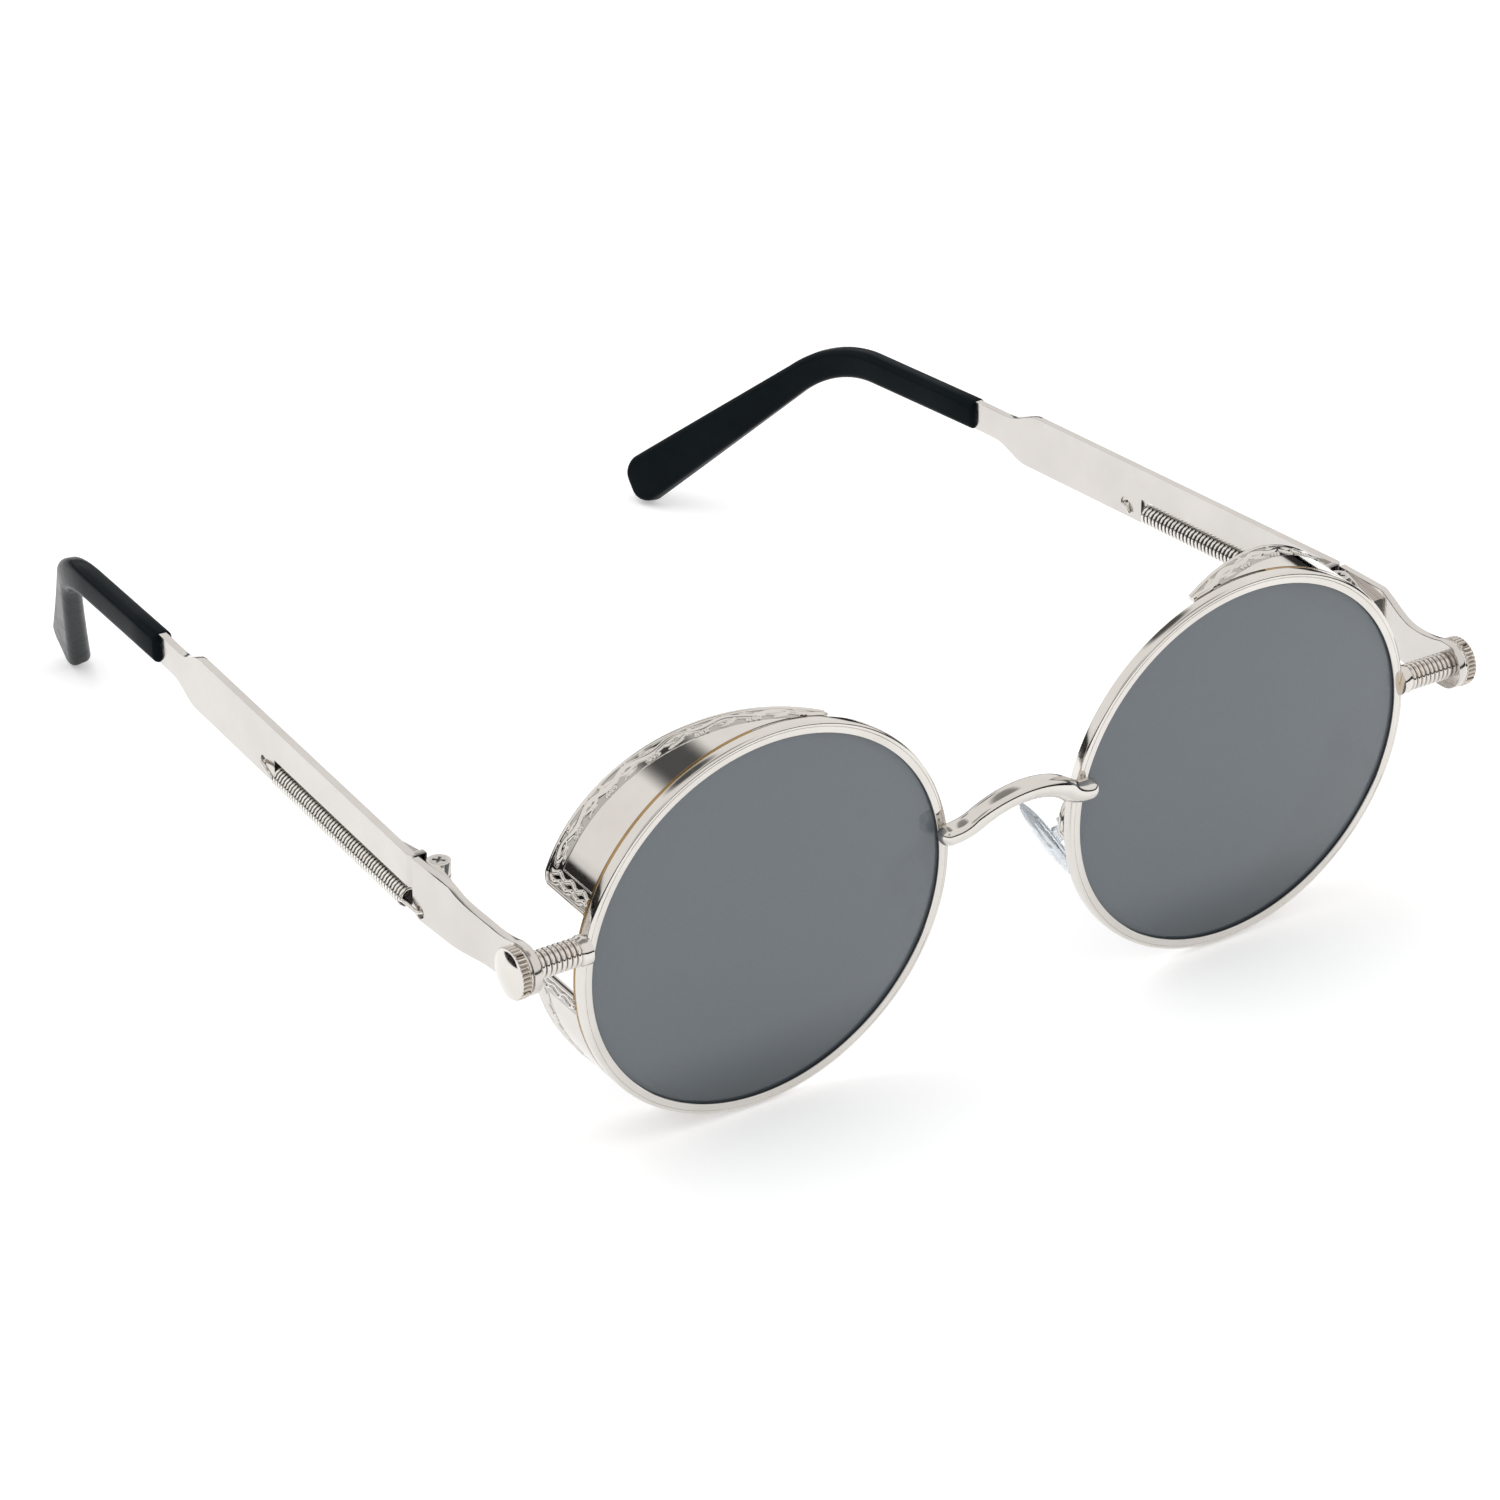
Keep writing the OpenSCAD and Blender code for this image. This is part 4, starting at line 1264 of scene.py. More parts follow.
@dataclass
class Studs:
    """The ridged studs beside the rims and their knurled knobs."""

    width: float = 3.5
    collar: float = 0.5
    waist: float = 0.05
    ridges: int = 9
    ridge_steps: int = 10
    ridge_round: float = 0.97
    valley: float = 0.36
    foot: float = 0.9
    foot_flare: float = 0.12
    knob_width: float = 6.4
    neck_width: float = 5.8
    neck: float = 0.35
    drum: float = 1.1
    edge_r: float = 0.2
    edge_steps: int = 6
    dome: float = 0.75
    dome_rings: int = 11
    knurls: int = 36
    knurl_depth: float = 0.22
    knurl_points: int = 8
    around: int = 64

    @property
    def at(self) -> Matrix:
        """Frame of the left stud: Y along it, outward, from the centre plane."""
        place = Matrix.Translation((0, AT.stud_y * MM, AT.stud_z * MM))
        return AT.table @ place @ Matrix.Rotation(-math.pi / 2, 4, "Z")

    @property
    def start(self) -> float:
        """Station of the rim's side along the stud."""
        return AT.eye_x + AT.rim_out_r

    @property
    def pitch(self) -> float:
        """Distance between two ridges."""
        return (AT.plate_in_x - self.start - self.collar) / self.ridges

    def stud(self) -> Piece:
        """One ridged stud, its foot sunk in the side of the rim.

        Returns:
            The stud in its own frame.
        """
        r, start, threads = self.width / 2, self.start, self.start + self.collar
        foot, waist = r + self.foot_flare, r - self.waist
        points = [(0, start - self.foot), (foot, start - self.foot), (foot, start + 0.1)]
        points += [(waist, start + self.collar * 0.6), (waist, threads - 0.05)]
        for i in range(self.ridges):
            for k in range(1, self.ridge_steps + 1):
                crest = swell((2 * k / self.ridge_steps - 1) * self.ridge_round)
                at = threads + self.pitch * (i + k / self.ridge_steps)
                points.append((r - self.valley * (1 - crest), at))
        points.append((0, AT.plate_in_x))
        obj = lathe("left_ridged_stud", points, self.around)
        marked(obj, "brass", self.brass)
        # Painted shade darkens the valleys between the ridges.
        marked(obj, "painted_shade", self.shadow)
        return smooth(obj, 60)

    def shadow(self, p: Vector) -> float:
        """Share of painted shade at a point of the stud: in its valleys, past its foot."""
        deep = (self.width / 2 - math.hypot(p.x, p.z)) / self.valley
        return 0.85 * ease(1.3 * deep) * (p.y > self.start + 0.3)

    def brass(self, p: Vector) -> float:
        """Share of brass on the stud.

        Args:
            p: A point in the stud's frame.

        Returns:
            More in the valleys, and most in one of them near the rim.
        """
        deep = max(0.0, (self.width / 2 - math.hypot(p.x, p.z)) / self.valley)
        ridge = (p.y - self.start - self.collar) / self.pitch
        side = 0.5 + 0.5 * math.sin(3 * math.atan2(p.z, p.x))
        return min(1.0, deep * (0.12 + 0.5 * math.exp(-((ridge - 2) ** 2)) * side))

    def stations(self) -> list[tuple[float, float, float]]:
        """The rings of the knob: neck, knurled drum, round edge and domed face.

        Returns:
            Each ring as (share of knurling, station, radius).
        """
        neck, big, small = self.neck_width / 2, self.knob_width / 2, self.knob_width / 2 - self.edge_r
        drum_end = self.neck + self.drum
        rows = [(0.0, 0.0, neck - 0.1), (0.0, 0.1, neck), (0.0, self.neck - 0.02, neck)]
        rows += [(0.55, self.neck + 0.02, big - 0.12), (1.0, self.neck + 0.16, big)]
        rows += [(1.0, self.neck + self.drum * k / 3, big) for k in (1, 2, 3)]
        for k in range(1, self.edge_steps + 1):
            a = math.pi / 2 * k / self.edge_steps
            cut = max(0.0, 1 - k / 4.5)
            rows.append((cut, drum_end + self.edge_r * math.sin(a), small + self.edge_r * math.cos(a)))
        for k in range(1, self.dome_rings + 1):
            f = 1 - k / (self.dome_rings + 1.5)
            rows.append((0.0, drum_end + self.edge_r + self.dome * (1 - f * f), small * f))
        return rows

    def knob(self) -> Piece:
        """One knurled knob.

        Returns:
            The knob, its neck at the origin.
        """
        count = self.knurls * self.knurl_points
        rings = []
        for cut, y, r in self.stations():
            ring = []
            for i in range(count):
                a = 2 * math.pi * i / count
                wave = (1 - abs(math.cos(self.knurls * a / 2))) ** 0.8
                radius = r - cut * self.knurl_depth * (1 - wave)
                ring.append(Vector((radius * math.cos(a), y, radius * math.sin(a))))
            rings.append(ring)
        obj = loft("left_knurled_knob", rings)
        marked(obj, "brass", self.knob_brass)
        # Painted shade darkens the grooves of the knurling.
        marked(obj, "painted_shade", lambda p: 0.8 * self.groove_share(p))
        return smooth(obj, 50)

    def knob_brass(self, p: Vector) -> float:
        """Share of brass on the knob: only in its grooves, and more at its lower front."""
        side = 0.5 - 0.5 * math.sin(math.atan2(p.z, p.x) + 0.6)
        return self.groove_share(p) * (0.15 + 0.65 * side**2)

    def groove_share(self, p: Vector) -> float:
        """How deep a point lies in the knob's grooves.

        Args:
            p: A point of the knob in millimetres.

        Returns:
            0 on the ridges and off the drum, 1 at the bottom of a groove.
        """
        if not self.neck + 0.1 < p.y < self.neck + self.drum + 0.1:
            return 0.0
        return min(1.0, max(0.0, (self.knob_width / 2 - math.hypot(p.x, p.z)) / self.knurl_depth))

    def build(self, finish: Finishes) -> None:
        """Makes both studs and knobs.

        Args:
            finish: The materials.
        """
        both(placed(self.stud(), self.at), "ridged_stud", finish.turned, "turned_metal", "front", "stud")
        out = Matrix.Translation((0, (AT.plate_in_x + AT.plate_t) * MM, 0))
        knob = placed(self.knob(), self.at @ out)
        both(knob, "knurled_knob", finish.turned, "turned_metal", "front", "knob")


@dataclass
class NosePads:
    """The clear pads, the arms that carry them and their little boxes."""

    pad_x: float = 11.3
    pad_y: float = 6.9
    drop: float = 6.1
    length: float = 13.0
    width: float = 7.2
    thick: float = 2.2
    taper: float = 0.7
    lean: float = 26.0
    splay: float = 32.0
    cushion_lean: float = 33.0
    cushion_splay: float = 6.0
    cushion_in: float = 0.5
    arm_d: float = 1.2
    foot_angle: float = 8.0
    arm_rise: float = 3.4
    box_h: float = 3.0
    wall: float = 0.5
    gap: float = 0.45
    tab_w: float = 1.3
    tab_r: float = 0.85
    tab_sunk: float = 0.45
    clear: float = 0.12

    @property
    def box_floor(self) -> float:
        """Distance of the box's floor behind the middle of the pad."""
        return self.thick / 2 + self.gap + 2 * self.tab_r + self.clear

    def turned(self, splay: float, lean: float) -> Matrix:
        """Frame at the middle of the left pad.

        Args:
            splay: Its turn about the upright, in degrees.
            lean: Its lean towards the nose, in degrees.

        Returns:
            The frame: X out through the back of the pad, Z along it.
        """
        place = Matrix.Translation((self.pad_x * MM, self.pad_y * MM, -self.drop * MM))
        turn = Matrix.Rotation(-math.radians(splay), 4, "Z") @ Matrix.Rotation(-math.radians(lean), 4, "Y")
        return AT.table @ place @ turn

    @property
    def at(self) -> Matrix:
        """Frame of the left pad's tab and box."""
        return self.turned(self.splay, self.lean)

    def pad(self) -> Piece:
        """The teardrop cushion, narrower and thinner towards its top.

        Returns:
            The cushion with its back towards X.
        """
        deselect()
        bpy.ops.mesh.primitive_uv_sphere_add(segments=48, ring_count=32, radius=MM)
        obj = named("left_clear_pad")
        half = Vector((self.thick, self.width, self.length)) / 2
        for vertex in obj.data.vertices:
            x, y, z = vertex.co / MM
            t = (z + 1) / 2
            belly = max(0.0, 1 - z * z) ** 0.41
            turn = math.atan2(y, x)
            square = [math.copysign(abs(v) ** 0.8, v) for v in (math.cos(turn), math.sin(turn))]
            if not math.hypot(x, y):
                square = [0.0, 0.0]
            vertex.co = Vector(
                (
                    square[0] * belly * half.x * (1 - 0.25 * ease(t)),
                    square[1] * belly * half.y * (1 - (1 - self.taper) * ease(t * 1.15)),
                    math.copysign(abs(z) ** 0.92, z) * half.z,
                )
            ) * MM
        return smooth(obj, 60)

    def tab(self) -> Piece:
        """The clear tab on the pad's back, round at its end.

        Returns:
            The tab in the frame of the pad.
        """
        back = self.thick / 2 * self.tab_sunk
        pivot = self.thick / 2 + self.gap + self.tab_r
        section = [(back, -self.tab_r), (back, self.tab_r)]
        for k in range(11):
            a = math.pi * k / 10
            section.append((pivot + self.tab_r * math.sin(a), self.tab_r * math.cos(a)))
        rings = [[Vector((x, y, z)) for x, z in section] for y in (-self.tab_w / 2, self.tab_w / 2)]
        return softened(smooth(loft("left_pad_tab", rings), 40), 0.1)

    def box(self) -> Piece:
        """The little metal box: a block with a slot cut through its open side.

        Returns:
            The box in the frame of the pad.
        """
        inner = self.tab_w / 2 + self.clear
        outer = inner + self.wall
        start, floor = self.thick / 2 + self.gap, self.box_floor
        end = floor + self.wall
        half = [(floor, inner), (start, inner), (start, outer), (end - 0.5, outer), (end, outer - 0.5)]
        section = [(x, -y) for x, y in reversed(half[:3])] + half
        section += [(x, -y) for x, y in reversed(half[3:])]
        rings = [[Vector((x, y, z)) for x, y in section] for z in (-self.box_h / 2, self.box_h / 2)]
        return softened(loft("left_pad_box", rings), 0.12)

    def arm(self) -> Piece:
        """The goose-necked arm from the back of the rim to the box.

        Returns:
            The arm in the frame of the drawing.
        """
        tilt = math.radians(AT.tilt)
        back = Vector((0, math.cos(tilt), math.sin(tilt)))
        up = Vector((0, -math.sin(tilt), math.cos(tilt)))
        mid_r = (AT.rim_in_r + AT.rim_out_r) / 2
        angle = math.radians(self.foot_angle)
        foot = Vector((AT.eye_x - mid_r * math.cos(angle), 0, 0)) + back * AT.rim_depth
        foot -= up * (mid_r * math.sin(angle))
        end = self.box_floor + self.wall
        pad_to_drawing = AT.table.inverted() @ self.at
        join = pad_to_drawing @ (Vector((end - self.wall / 2, 0, 0)) * MM) / MM
        out = pad_to_drawing @ (Vector((end + self.arm_rise, 0, 0)) * MM) / MM - join
        line = [foot - back * 0.2] + cubic(
            foot + back * self.arm_d,
            foot + back * self.arm_d * 2 + up * self.arm_rise * 2,
            join + out + up * self.arm_rise,
            join,
            36,
        )
        return smooth(wire("left_pad_wire", line, self.arm_d, 16), 60)

    def build(self, finish: Finishes) -> None:
        """Makes both pads, arms and boxes.

        Args:
            finish: The materials.
        """
        inward = Matrix.Translation((-self.cushion_in * MM, 0, 0))
        cushion = placed(self.pad(), inward @ self.turned(self.cushion_splay, self.cushion_lean))
        pad = joined([cushion, placed(self.tab(), self.at)])
        both(pad, "clear_pad", finish.clear, "clear_pad", "{side}_pad_assembly", "nose_pad")
        arm = joined([placed(self.arm(), AT.table), placed(self.box(), self.at)])
        both(arm, "pad_wire", finish.rim, "rim_metal", "front", "pad_arm")


# ---------------------------------------------------------------- temples


@dataclass
class Plates:
    """Stamped plates and hinge leaves: the frame's own shapes with rounded edges."""

    edge: float = 0.14
    leaf_edge: float = 0.1
    leaf_drop: float = 1.3
    leaf_corner: float = 0.4
    large: float = 1.5
    seam_shade: float = 0.95

    def flat_faced(self, obj: Piece) -> Piece:
        """Shades the large faces flat and the edges between them smooth.

        Args:
            obj: A plate.

        Returns:
            The same plate.
        """
        smooth(obj, 35)
        for face in obj.data.polygons:
            face.use_smooth = face.area < self.large * MM * MM
        return obj

    def lowered_end(self, obj: Piece, away: int) -> Piece:
        """Lowers the upper corners at the free end of a hinge leaf, so that the plate hides it.

        Args:
            obj: The leaf.
            away: 1 for the rear leaf, -1 for the front one.

        Returns:
            The same leaf.
        """
        to_temple = AT.temple.inverted()
        places = [to_temple @ vertex.co / MM for vertex in obj.data.vertices]
        far = max(away * place.y for place in places)
        top = max(place.z for place in places)
        for vertex, place in zip(obj.data.vertices, places):
            if away * place.y > far - self.leaf_corner and place.z > top - self.leaf_corner:
                vertex.co.z -= self.leaf_drop * MM
        return obj

    def darken_seam(self, obj: Piece, away: int) -> None:
        """Marks painted shade on the face of a plate that looks into the gap at the hinge.

        Args:
            obj: The plate.
            away: 1 for the temple, -1 for the end piece.
        """
        to_temple = AT.temple.inverted()
        near = min(away * (to_temple @ vertex.co).y for vertex in obj.data.vertices) + 0.05 * MM
        # Painted shade: that face goes almost black.
        marked(obj, "painted_shade", lambda p: self.seam_shade * (away * (to_temple @ (p * MM)).y < near))

    def build(self, finish: Finishes) -> None:
        """Makes the end pieces, temples and leaves.

        Args:
            finish: The materials.
        """
        rear = "{side}_temple_assembly"
        for stem, body, away in (("end_piece", "front", -1), ("temple", rear, 1)):
            plate = softened(copy_of(f"left_{stem}", f"left_{stem}_plate"), self.edge)
            self.darken_seam(plate, away)
            both(self.flat_faced(plate), f"{stem}_plate", finish.plate, "plate_metal", body, stem)
        for stem, body, away in (("front_leaf", "front", -1), ("rear_leaf", rear, 1)):
            leaf = self.lowered_end(copy_of(f"left_{stem}", f"left_{stem}_plate"), away)
            leaf = self.flat_faced(softened(leaf, self.leaf_edge))
            both(leaf, f"{stem}_plate", finish.plate, "plate_metal", body, stem)


@dataclass
class Springs:
    """The close wound springs in the notches of the temples."""

    width: float = 2.9
    thread: float = 0.5
    thread_sides: int = 12
    turns: int = 50
    rings_per_turn: int = 16
    up: float = 1.4
    front_at: float = 1.5
    rear_at: float = 36.25
    front_hole: float = -2.0
    rear_hole: float = 40.2
    front_up: float = 1.2
    rear_up: float = 1.8
    clear: float = 0.12
    bend_from: float = -0.9
    bend_to: float = 1.0

    def line(self) -> list[Vector]:
        """The middle line of the wire, from the free end of the front hook to that of the rear one.

        Returns:
            Its points in the frame of the temple.
        """
        r = (self.width - self.thread) / 2
        mid = -AT.plate_t / 2
        z = AT.temple_low + self.up
        skew = math.sin(math.radians(AT.toe_in)) * self.front_hole
        coil = []
        steps = self.turns * self.rings_per_turn
        for i in range(steps + 1):
            a = 2 * math.pi * i / self.rings_per_turn
            y = self.front_at + (self.rear_at - self.front_at) * i / steps
            coil.append(Vector((mid + r * math.cos(a), y, z + r * math.sin(a))))
        front_hole = Vector((mid + skew, self.front_hole, AT.temple_low + self.front_up))
        rear_hole = Vector((mid, self.rear_hole, AT.temple_low + self.rear_up))
        return self.hook(front_hole, coil[0], -1)[::-1] + coil + self.hook(rear_hole, coil[-1], 1)

    def hook(self, hole: Vector, start: Vector, away: int) -> list[Vector]:
        """A hook from the end of the coil round the plate and through its hole.

        Args:
            hole: Middle of the hole.
            start: End of the coil.
            away: 1 for the rear hook, -1 for the front one.

        Returns:
            The points after the coil's end.
        """
        out = AT.plate_t / 2 + self.thread / 2 + self.clear
        outer = Vector((hole.x + out, hole.y - away * 0.5, hole.z + 0.05))
        inner = Vector((hole.x - out, hole.y - away * 0.2, hole.z - 0.15))
        rise = Vector((0.1, away * 0.9, 0.6)), Vector((-0.2, away * 1.1, -0.1))
        ahead = Vector((0, away * 0.7, 0))
        tail = [inner - Vector(step) for step in ((0, away * 0.5, 0.1), (-0.05, away * 0.8, 0.5))]
        tip = inner - Vector((-0.15, away, 0.9))
        line = cubic(start, start + rise[0], outer - rise[1], outer, 10)[1:]
        line += cubic(outer, outer + ahead, inner + ahead, inner, 10)[1:]
        return line + cubic(inner, *tail, tip, 5)[1:]

    def shadow(self, p: Vector) -> float:
        """Share of painted shade on the coil: all of it but the outside of each turn.

        Args:
            p: A point of the wire in the frame of the temple.

        Returns:
            The share.
        """
        if not self.front_at < p.y < self.rear_at:
            return 0.1
        deep = self.width / 2 - math.hypot(p.x + AT.plate_t / 2, p.z - AT.temple_low - self.up)
        return 0.95 * ease((deep - 0.06) / 0.13)

    def bend_end(self, side: Side, at: float) -> tuple[float, float, float]:
        """A point at the hinge, at a distance behind its seam, on the given side."""
        x, y, z = AT.temple @ (Vector((-AT.plate_t / 2, at, 0)) * MM)
        return (x if side is Side.LEFT else -x, y, z)

    def build(self, finish: Finishes) -> None:
        """Makes both springs.

        Args:
            finish: The materials.
        """
        coil = wire("left_close_spring", self.line(), self.thread, self.thread_sides)
        # Painted shade between the turns of the coil, and a little on the hooks.
        marked(coil, "painted_shade", self.shadow)
        coil = placed(smooth(coil, 60), AT.temple)
        twins = {Side.LEFT: coil, Side.RIGHT: mirrored(coil, "right_close_spring")}
        for side, piece in twins.items():
            piece.data.materials.append(finish.spring)
            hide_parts(f"{side.value}_temple_spring")
            start, end = (self.bend_end(side, at) for at in (self.bend_from, self.bend_to))
            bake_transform(piece)
            LOG.info("%s: %d faces, bends across the hinge", piece.name, len(piece.data.polygons))


@dataclass
class Sleeves:
    """The black sleeves with their ear bend and paddle ends."""

    height: float = 4.2
    width: float = 2.8
    edge_r: float = 1.05
    length: float = 21.5
    droop: float = 1.5
    bend_r: float = 21.0
    bend: float = 43.5
    roll: float = 24.0
    paddle_w: float = 7.0
    paddle_t: float = 3.2
    paddle_len: float = 32.8341
    paddle_r: float = 2.7
    paddle_turn: float = 12.0
    paddle_edge: float = 1.3
    start_y: float = 70.805
    corner_steps: int = 6
    bend_steps: int = 24
    paddle_steps: int = 10
    end_steps: int = 16

    def bend_point(self, a: float) -> tuple[Vector, Vector, Vector]:
        """A point of the ear bend, the way the sleeve runs there and the way its flat side faces.

        Args:
            a: Angle along the bend in degrees.

        Returns:
            The three vectors in the sleeve's frame.
        """
        roll, a = math.radians(self.roll), math.radians(a)
        along = Vector((0, 1, 0))
        down = Vector((-math.sin(roll), 0, -math.cos(roll)))
        middle = along * self.length + (along * math.sin(a) + down * (1 - math.cos(a))) * self.bend_r
        way = along * math.cos(a) + down * math.sin(a)
        facing = Vector((math.cos(roll), 0, -math.sin(roll))) * math.cos(roll)
        facing += (along * math.sin(a) - down * math.cos(a)) * math.sin(roll)
        return middle, way, facing

    def ring(self, middle: Vector, way: Vector, side: Vector, w: float, h: float, r: float) -> Ring:
        """A rectangle with round corners across the sleeve.

        Args:
            middle: Middle of the ring.
            way: Direction of the sleeve.
            side: Direction of its width.
            w: Width.
            h: Height.
            r: Radius of the corners.

        Returns:
            The points of the ring.
        """
        up = way.cross(side)
        points = []
        for x, y in ((1, 1), (-1, 1), (-1, -1), (1, -1)):
            for i in range(self.corner_steps + 1):
                turn = math.atan2(y, x) - math.pi / 4 + math.pi / 2 * i / self.corner_steps
                points.append(
                    middle
                    + side * (x * (w / 2 - r) + r * math.cos(turn))
                    + up * (y * (h / 2 - r) + r * math.sin(turn))
                )
        return points

    def rings(self) -> list[Ring]:
        """All rings from the mouth of the sleeve to the end of its paddle.

        Returns:
            The rings in the sleeve's frame.
        """
        w, h, r = self.width, self.height, self.edge_r
        _, way, side = self.bend_point(0)
        rings = []
        for y, inset in ((0.0, 0.22), (0.1, 0.08), (0.3, 0.0), (7.0, 0.0), (14.0, 0.0)):
            rings.append(self.ring(Vector((0, y, 0)), way, side, w - 2 * inset, h - 2 * inset, r - inset))
        for i in range(self.bend_steps + 1):
            rings.append(self.ring(*self.bend_point(self.bend * i / self.bend_steps), w, h, r))
        end, way, flat = self.bend_point(self.bend)
        edge = self.paddle_t / 4
        across = way.cross(flat)
        for i in range(1, self.paddle_steps + 1):
            t = i / self.paddle_steps
            turn = math.radians(self.paddle_turn) * t
            side = flat * math.cos(turn) + across * math.sin(turn)
            wide, high = w + (self.paddle_t - w) * t, h + (self.paddle_w - h) * t
            round_r = r + (edge * self.paddle_edge - r) * t
            rings.append(self.ring(end + way * (self.paddle_len * t), way, side, wide, high, round_r))
        for i in range(1, self.end_steps + 1):
            a = math.pi / 2 * i / self.end_steps
            reach = self.paddle_r * math.sin(a)
            short = max(0.0, edge - (self.paddle_r - reach))
            wide = self.paddle_t - 2 * (edge - math.sqrt(max(0.0, edge**2 - short * short)))
            high = self.paddle_w - 2 * self.paddle_r * (1 - math.cos(a))
            round_r = min(edge * self.paddle_edge, high / 2.05, wide / 2.05)
            rings.append(self.ring(end + way * (self.paddle_len + reach), way, side, wide, high, round_r))
        return rings

    def build(self, finish: Finishes) -> None:
        """Makes both sleeves.

        Args:
            finish: The materials.
        """
        mouth = Matrix.Translation((-AT.plate_t / 2 * MM, self.start_y * MM, AT.temple_z * MM))
        at = AT.temple @ mouth @ Matrix.Rotation(-math.radians(self.droop), 4, "X")
        sleeve = placed(smooth(loft("left_sleeve", self.rings()), 60), at)
        both(sleeve, "sleeve", finish.sleeve, "black_sleeve", "{side}_temple_assembly", "temple_tip")


# ---------------------------------------------------------------- studio


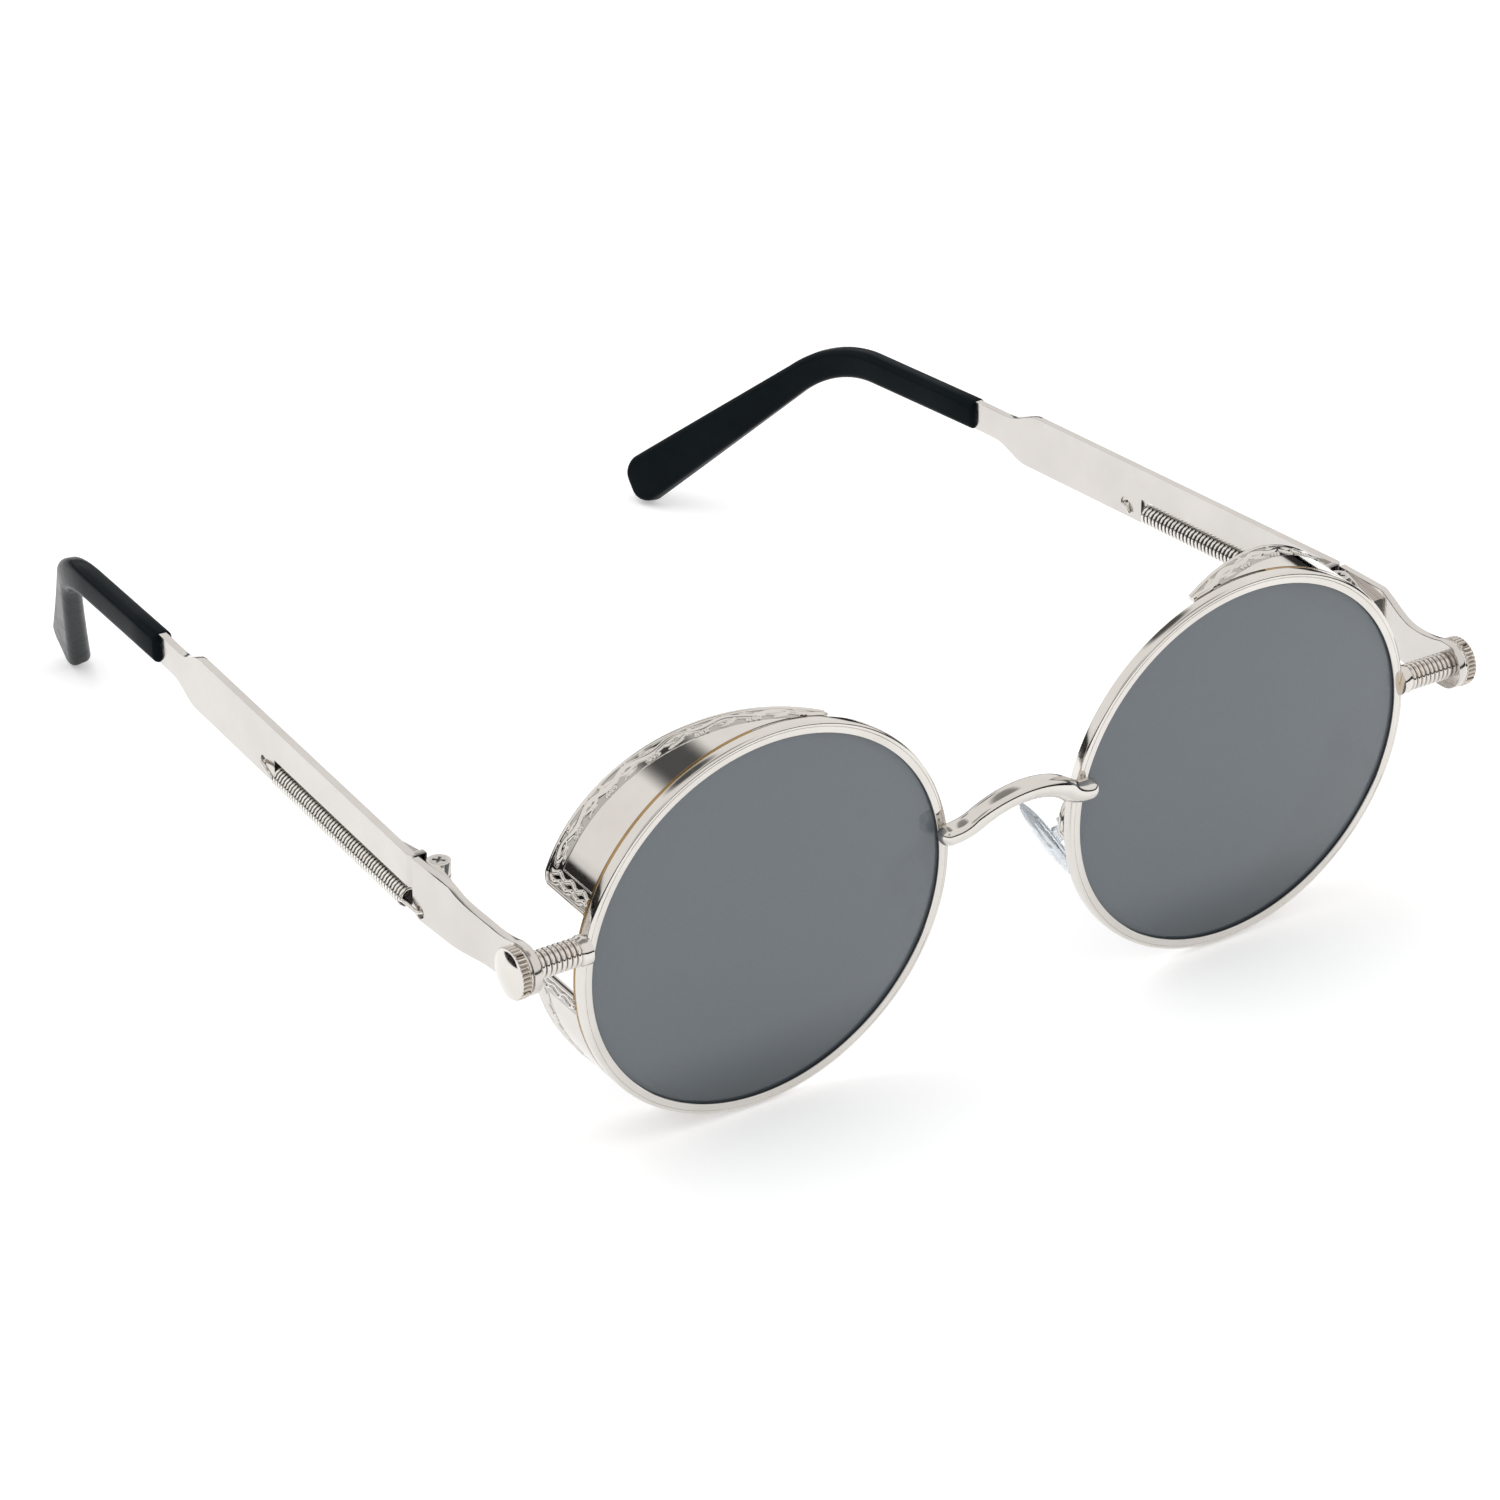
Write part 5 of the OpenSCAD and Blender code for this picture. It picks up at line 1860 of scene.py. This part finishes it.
@dataclass
class Studio:
    """Table, light and camera."""

    camera_at: tuple[float, float, float] = (-0.3581, -0.5471, 0.3479)
    aim: tuple[float, float, float] = (-0.0377, -0.0753, 0.0492)
    lens_mm: float = 135.1
    table_size: float = 6.0
    table_drop: float = 0.0002
    bright_r: float = 0.45
    lift: float = 0.3
    shadow_light: float = 0.74
    warmth: Colour = (1.0, 0.985, 0.97)
    levels: tuple[tuple[float, float], ...] = (
        (0.0, 0.03), (0.55, 0.03), (0.565, 0.85), (0.6, 1.0), (0.965, 1.0), (0.985, 0.35), (1.0, 0.3),
    )
    dark_spots: tuple[tuple[Colour, float, float, float], ...] = (
        ((-0.498, -0.733, 0.464), 15, 5, 0.35),
        ((-0.11, 0.66, 0.745), 14, 5, 0.1),
    )
    lamp_plan: tuple[tuple[str, Colour, float, float], ...] = (
        ("key", (-0.35, 0.25, 0.9), 0.9, 3.0),
        ("fill", (0.7, -0.5, 0.6), 0.5, 1.3),
    )

    def table(self) -> None:
        """A white table: it glows a little where it is seen, and ends early where metal mirrors it."""
        deselect()
        bpy.ops.mesh.primitive_plane_add(size=self.table_size, location=(0, 0, -self.table_drop))
        plane = named("table_top")
        n = Nodes("white_table")
        n.shaded(
            Base_Color=n.mix(n.noise(60.0), (0.9, 0.9, 0.9), (0.88, 0.88, 0.88)),
            Roughness=0.7,
            Specular_IOR_Level=0.1,
        )
        rays = n.add("ShaderNodeLightPath").outputs
        camera, glossy, through = (rays[f"Is {kind} Ray"] for kind in ("Camera", "Glossy", "Transmission"))
        seen = n.add("ShaderNodeMath", camera, glossy, operation="MAXIMUM").outputs[0]
        seen = n.add("ShaderNodeMath", seen, through, operation="MAXIMUM").outputs[0]
        dark = n.add("ShaderNodeEmission", Strength=0.0).outputs[0]
        glow = n.add("ShaderNodeEmission", Strength=self.lift).outputs[0]
        lift = n.add("ShaderNodeMixShader", seen, dark, glow).outputs[0]
        lit = n.add("ShaderNodeAddShader", n.shader.outputs[0], lift).outputs[0]
        away = n.add("ShaderNodeVectorMath", n.place, operation="LENGTH").outputs["Value"]
        far = n.add("ShaderNodeMath", away, operation="GREATER_THAN")
        far.inputs[1].default_value = self.bright_r
        past_end = n.add("ShaderNodeMath", far.outputs[0], glossy, operation="MULTIPLY").outputs[0]
        end = n.add("ShaderNodeMixShader", past_end, lit, dark).outputs[0]
        n.link(end, n.tree.nodes["Material Output"].inputs["Surface"])
        plane.data.materials.append(n.material)

    def world(self) -> None:
        """A white surround, with darker bands and spots for polished metal to mirror."""
        world = bpy.data.worlds.new("studio")
        bpy.context.scene.world = world
        world.use_nodes = True
        n = Tree(world.node_tree)
        rays = n.add("ShaderNodeLightPath").outputs
        way = n.add("ShaderNodeTexCoord").outputs["Generated"]
        height = n.add("ShaderNodeSeparateXYZ", way).outputs["Z"]
        height = n.add("ShaderNodeMapRange", height, From_Min=-1.0, From_Max=1.0).outputs["Result"]
        ramp = n.add("ShaderNodeValToRGB", height)
        stops = ramp.color_ramp.elements
        for _ in self.levels[2:]:
            stops.new(0.5)
        for stop, (at, level) in zip(stops, self.levels):
            stop.position = at
            stop.color = (*(level * share for share in self.warmth), 1)
        shade = ramp.outputs["Color"]
        for towards, wide, narrow, level in self.dark_spots:
            spot = n.add("ShaderNodeVectorMath", way, operation="DOT_PRODUCT")
            spot.inputs[1].default_value = Vector(towards).normalized()
            room = n.add(
                "ShaderNodeMapRange",
                spot.outputs["Value"],
                interpolation_type="SMOOTHSTEP",
                From_Min=math.cos(math.radians(wide)),
                From_Max=math.cos(math.radians(narrow)),
            )
            shade = n.mix(room.outputs["Result"], shade, (level, level, level))
        back = n.tree.nodes["Background"]
        n.link(n.mix(rays["Is Glossy Ray"], (1, 1, 1), shade), back.inputs["Color"])
        dimmed = n.add("ShaderNodeMapRange", rays["Is Diffuse Ray"], To_Min=1.0, To_Max=self.shadow_light)
        n.link(dimmed.outputs["Result"], back.inputs["Strength"])

    def lamps(self) -> None:
        """A soft key light above and a weaker one from the side."""
        for name, at, size, power in self.lamp_plan:
            deselect()
            bpy.ops.object.light_add(type="AREA", location=at)
            lamp = bpy.context.active_object
            lamp.name = name
            lamp.data.size = size
            lamp.data.energy = power
            lamp.visible_glossy = False
            lamp.rotation_euler = (-Vector(at)).to_track_quat("-Z", "Y").to_euler()

    def camera(self) -> None:
        """The camera at the photograph's viewing angle."""
        deselect()
        bpy.ops.object.camera_add(location=self.camera_at)
        camera = bpy.context.active_object
        camera.data.lens = self.lens_mm
        camera.data.sensor_width = 36
        camera.data.clip_start = 0.01
        camera.data.clip_end = 20
        way = Vector(self.aim) - Vector(self.camera_at)
        camera.rotation_euler = way.to_track_quat("-Z", "Y").to_euler()
        bpy.context.scene.camera = camera

    def build(self) -> None:
        """Sets the whole stage."""
        self.table()
        self.world()
        self.lamps()
        self.camera()
        bpy.context.scene.view_settings.view_transform = "Standard"


def dress_nodes(finish: Finishes) -> None:
    """Gives the screw nodes, which stay, their finish.

    Args:
        finish: The materials.
    """
    for name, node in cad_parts.items():
        if name.endswith("screw"):
            for slot in node.material_slots:
                slot.material = finish.screw


def main() -> None:
    """Builds the glasses and their stage."""
    logging.basicConfig(level=logging.INFO, format="%(message)s")
    finish = Finishes.make()
    Studio().build()
    for assembly in (Rims(), Bridge(), SideShields(), Studs(), NosePads(), Plates(), Springs(), Sleeves()):
        assembly.build(finish)
        LOG.info("%s done", type(assembly).__name__)
    dress_nodes(finish)


if __name__ == "__main__":
    main()
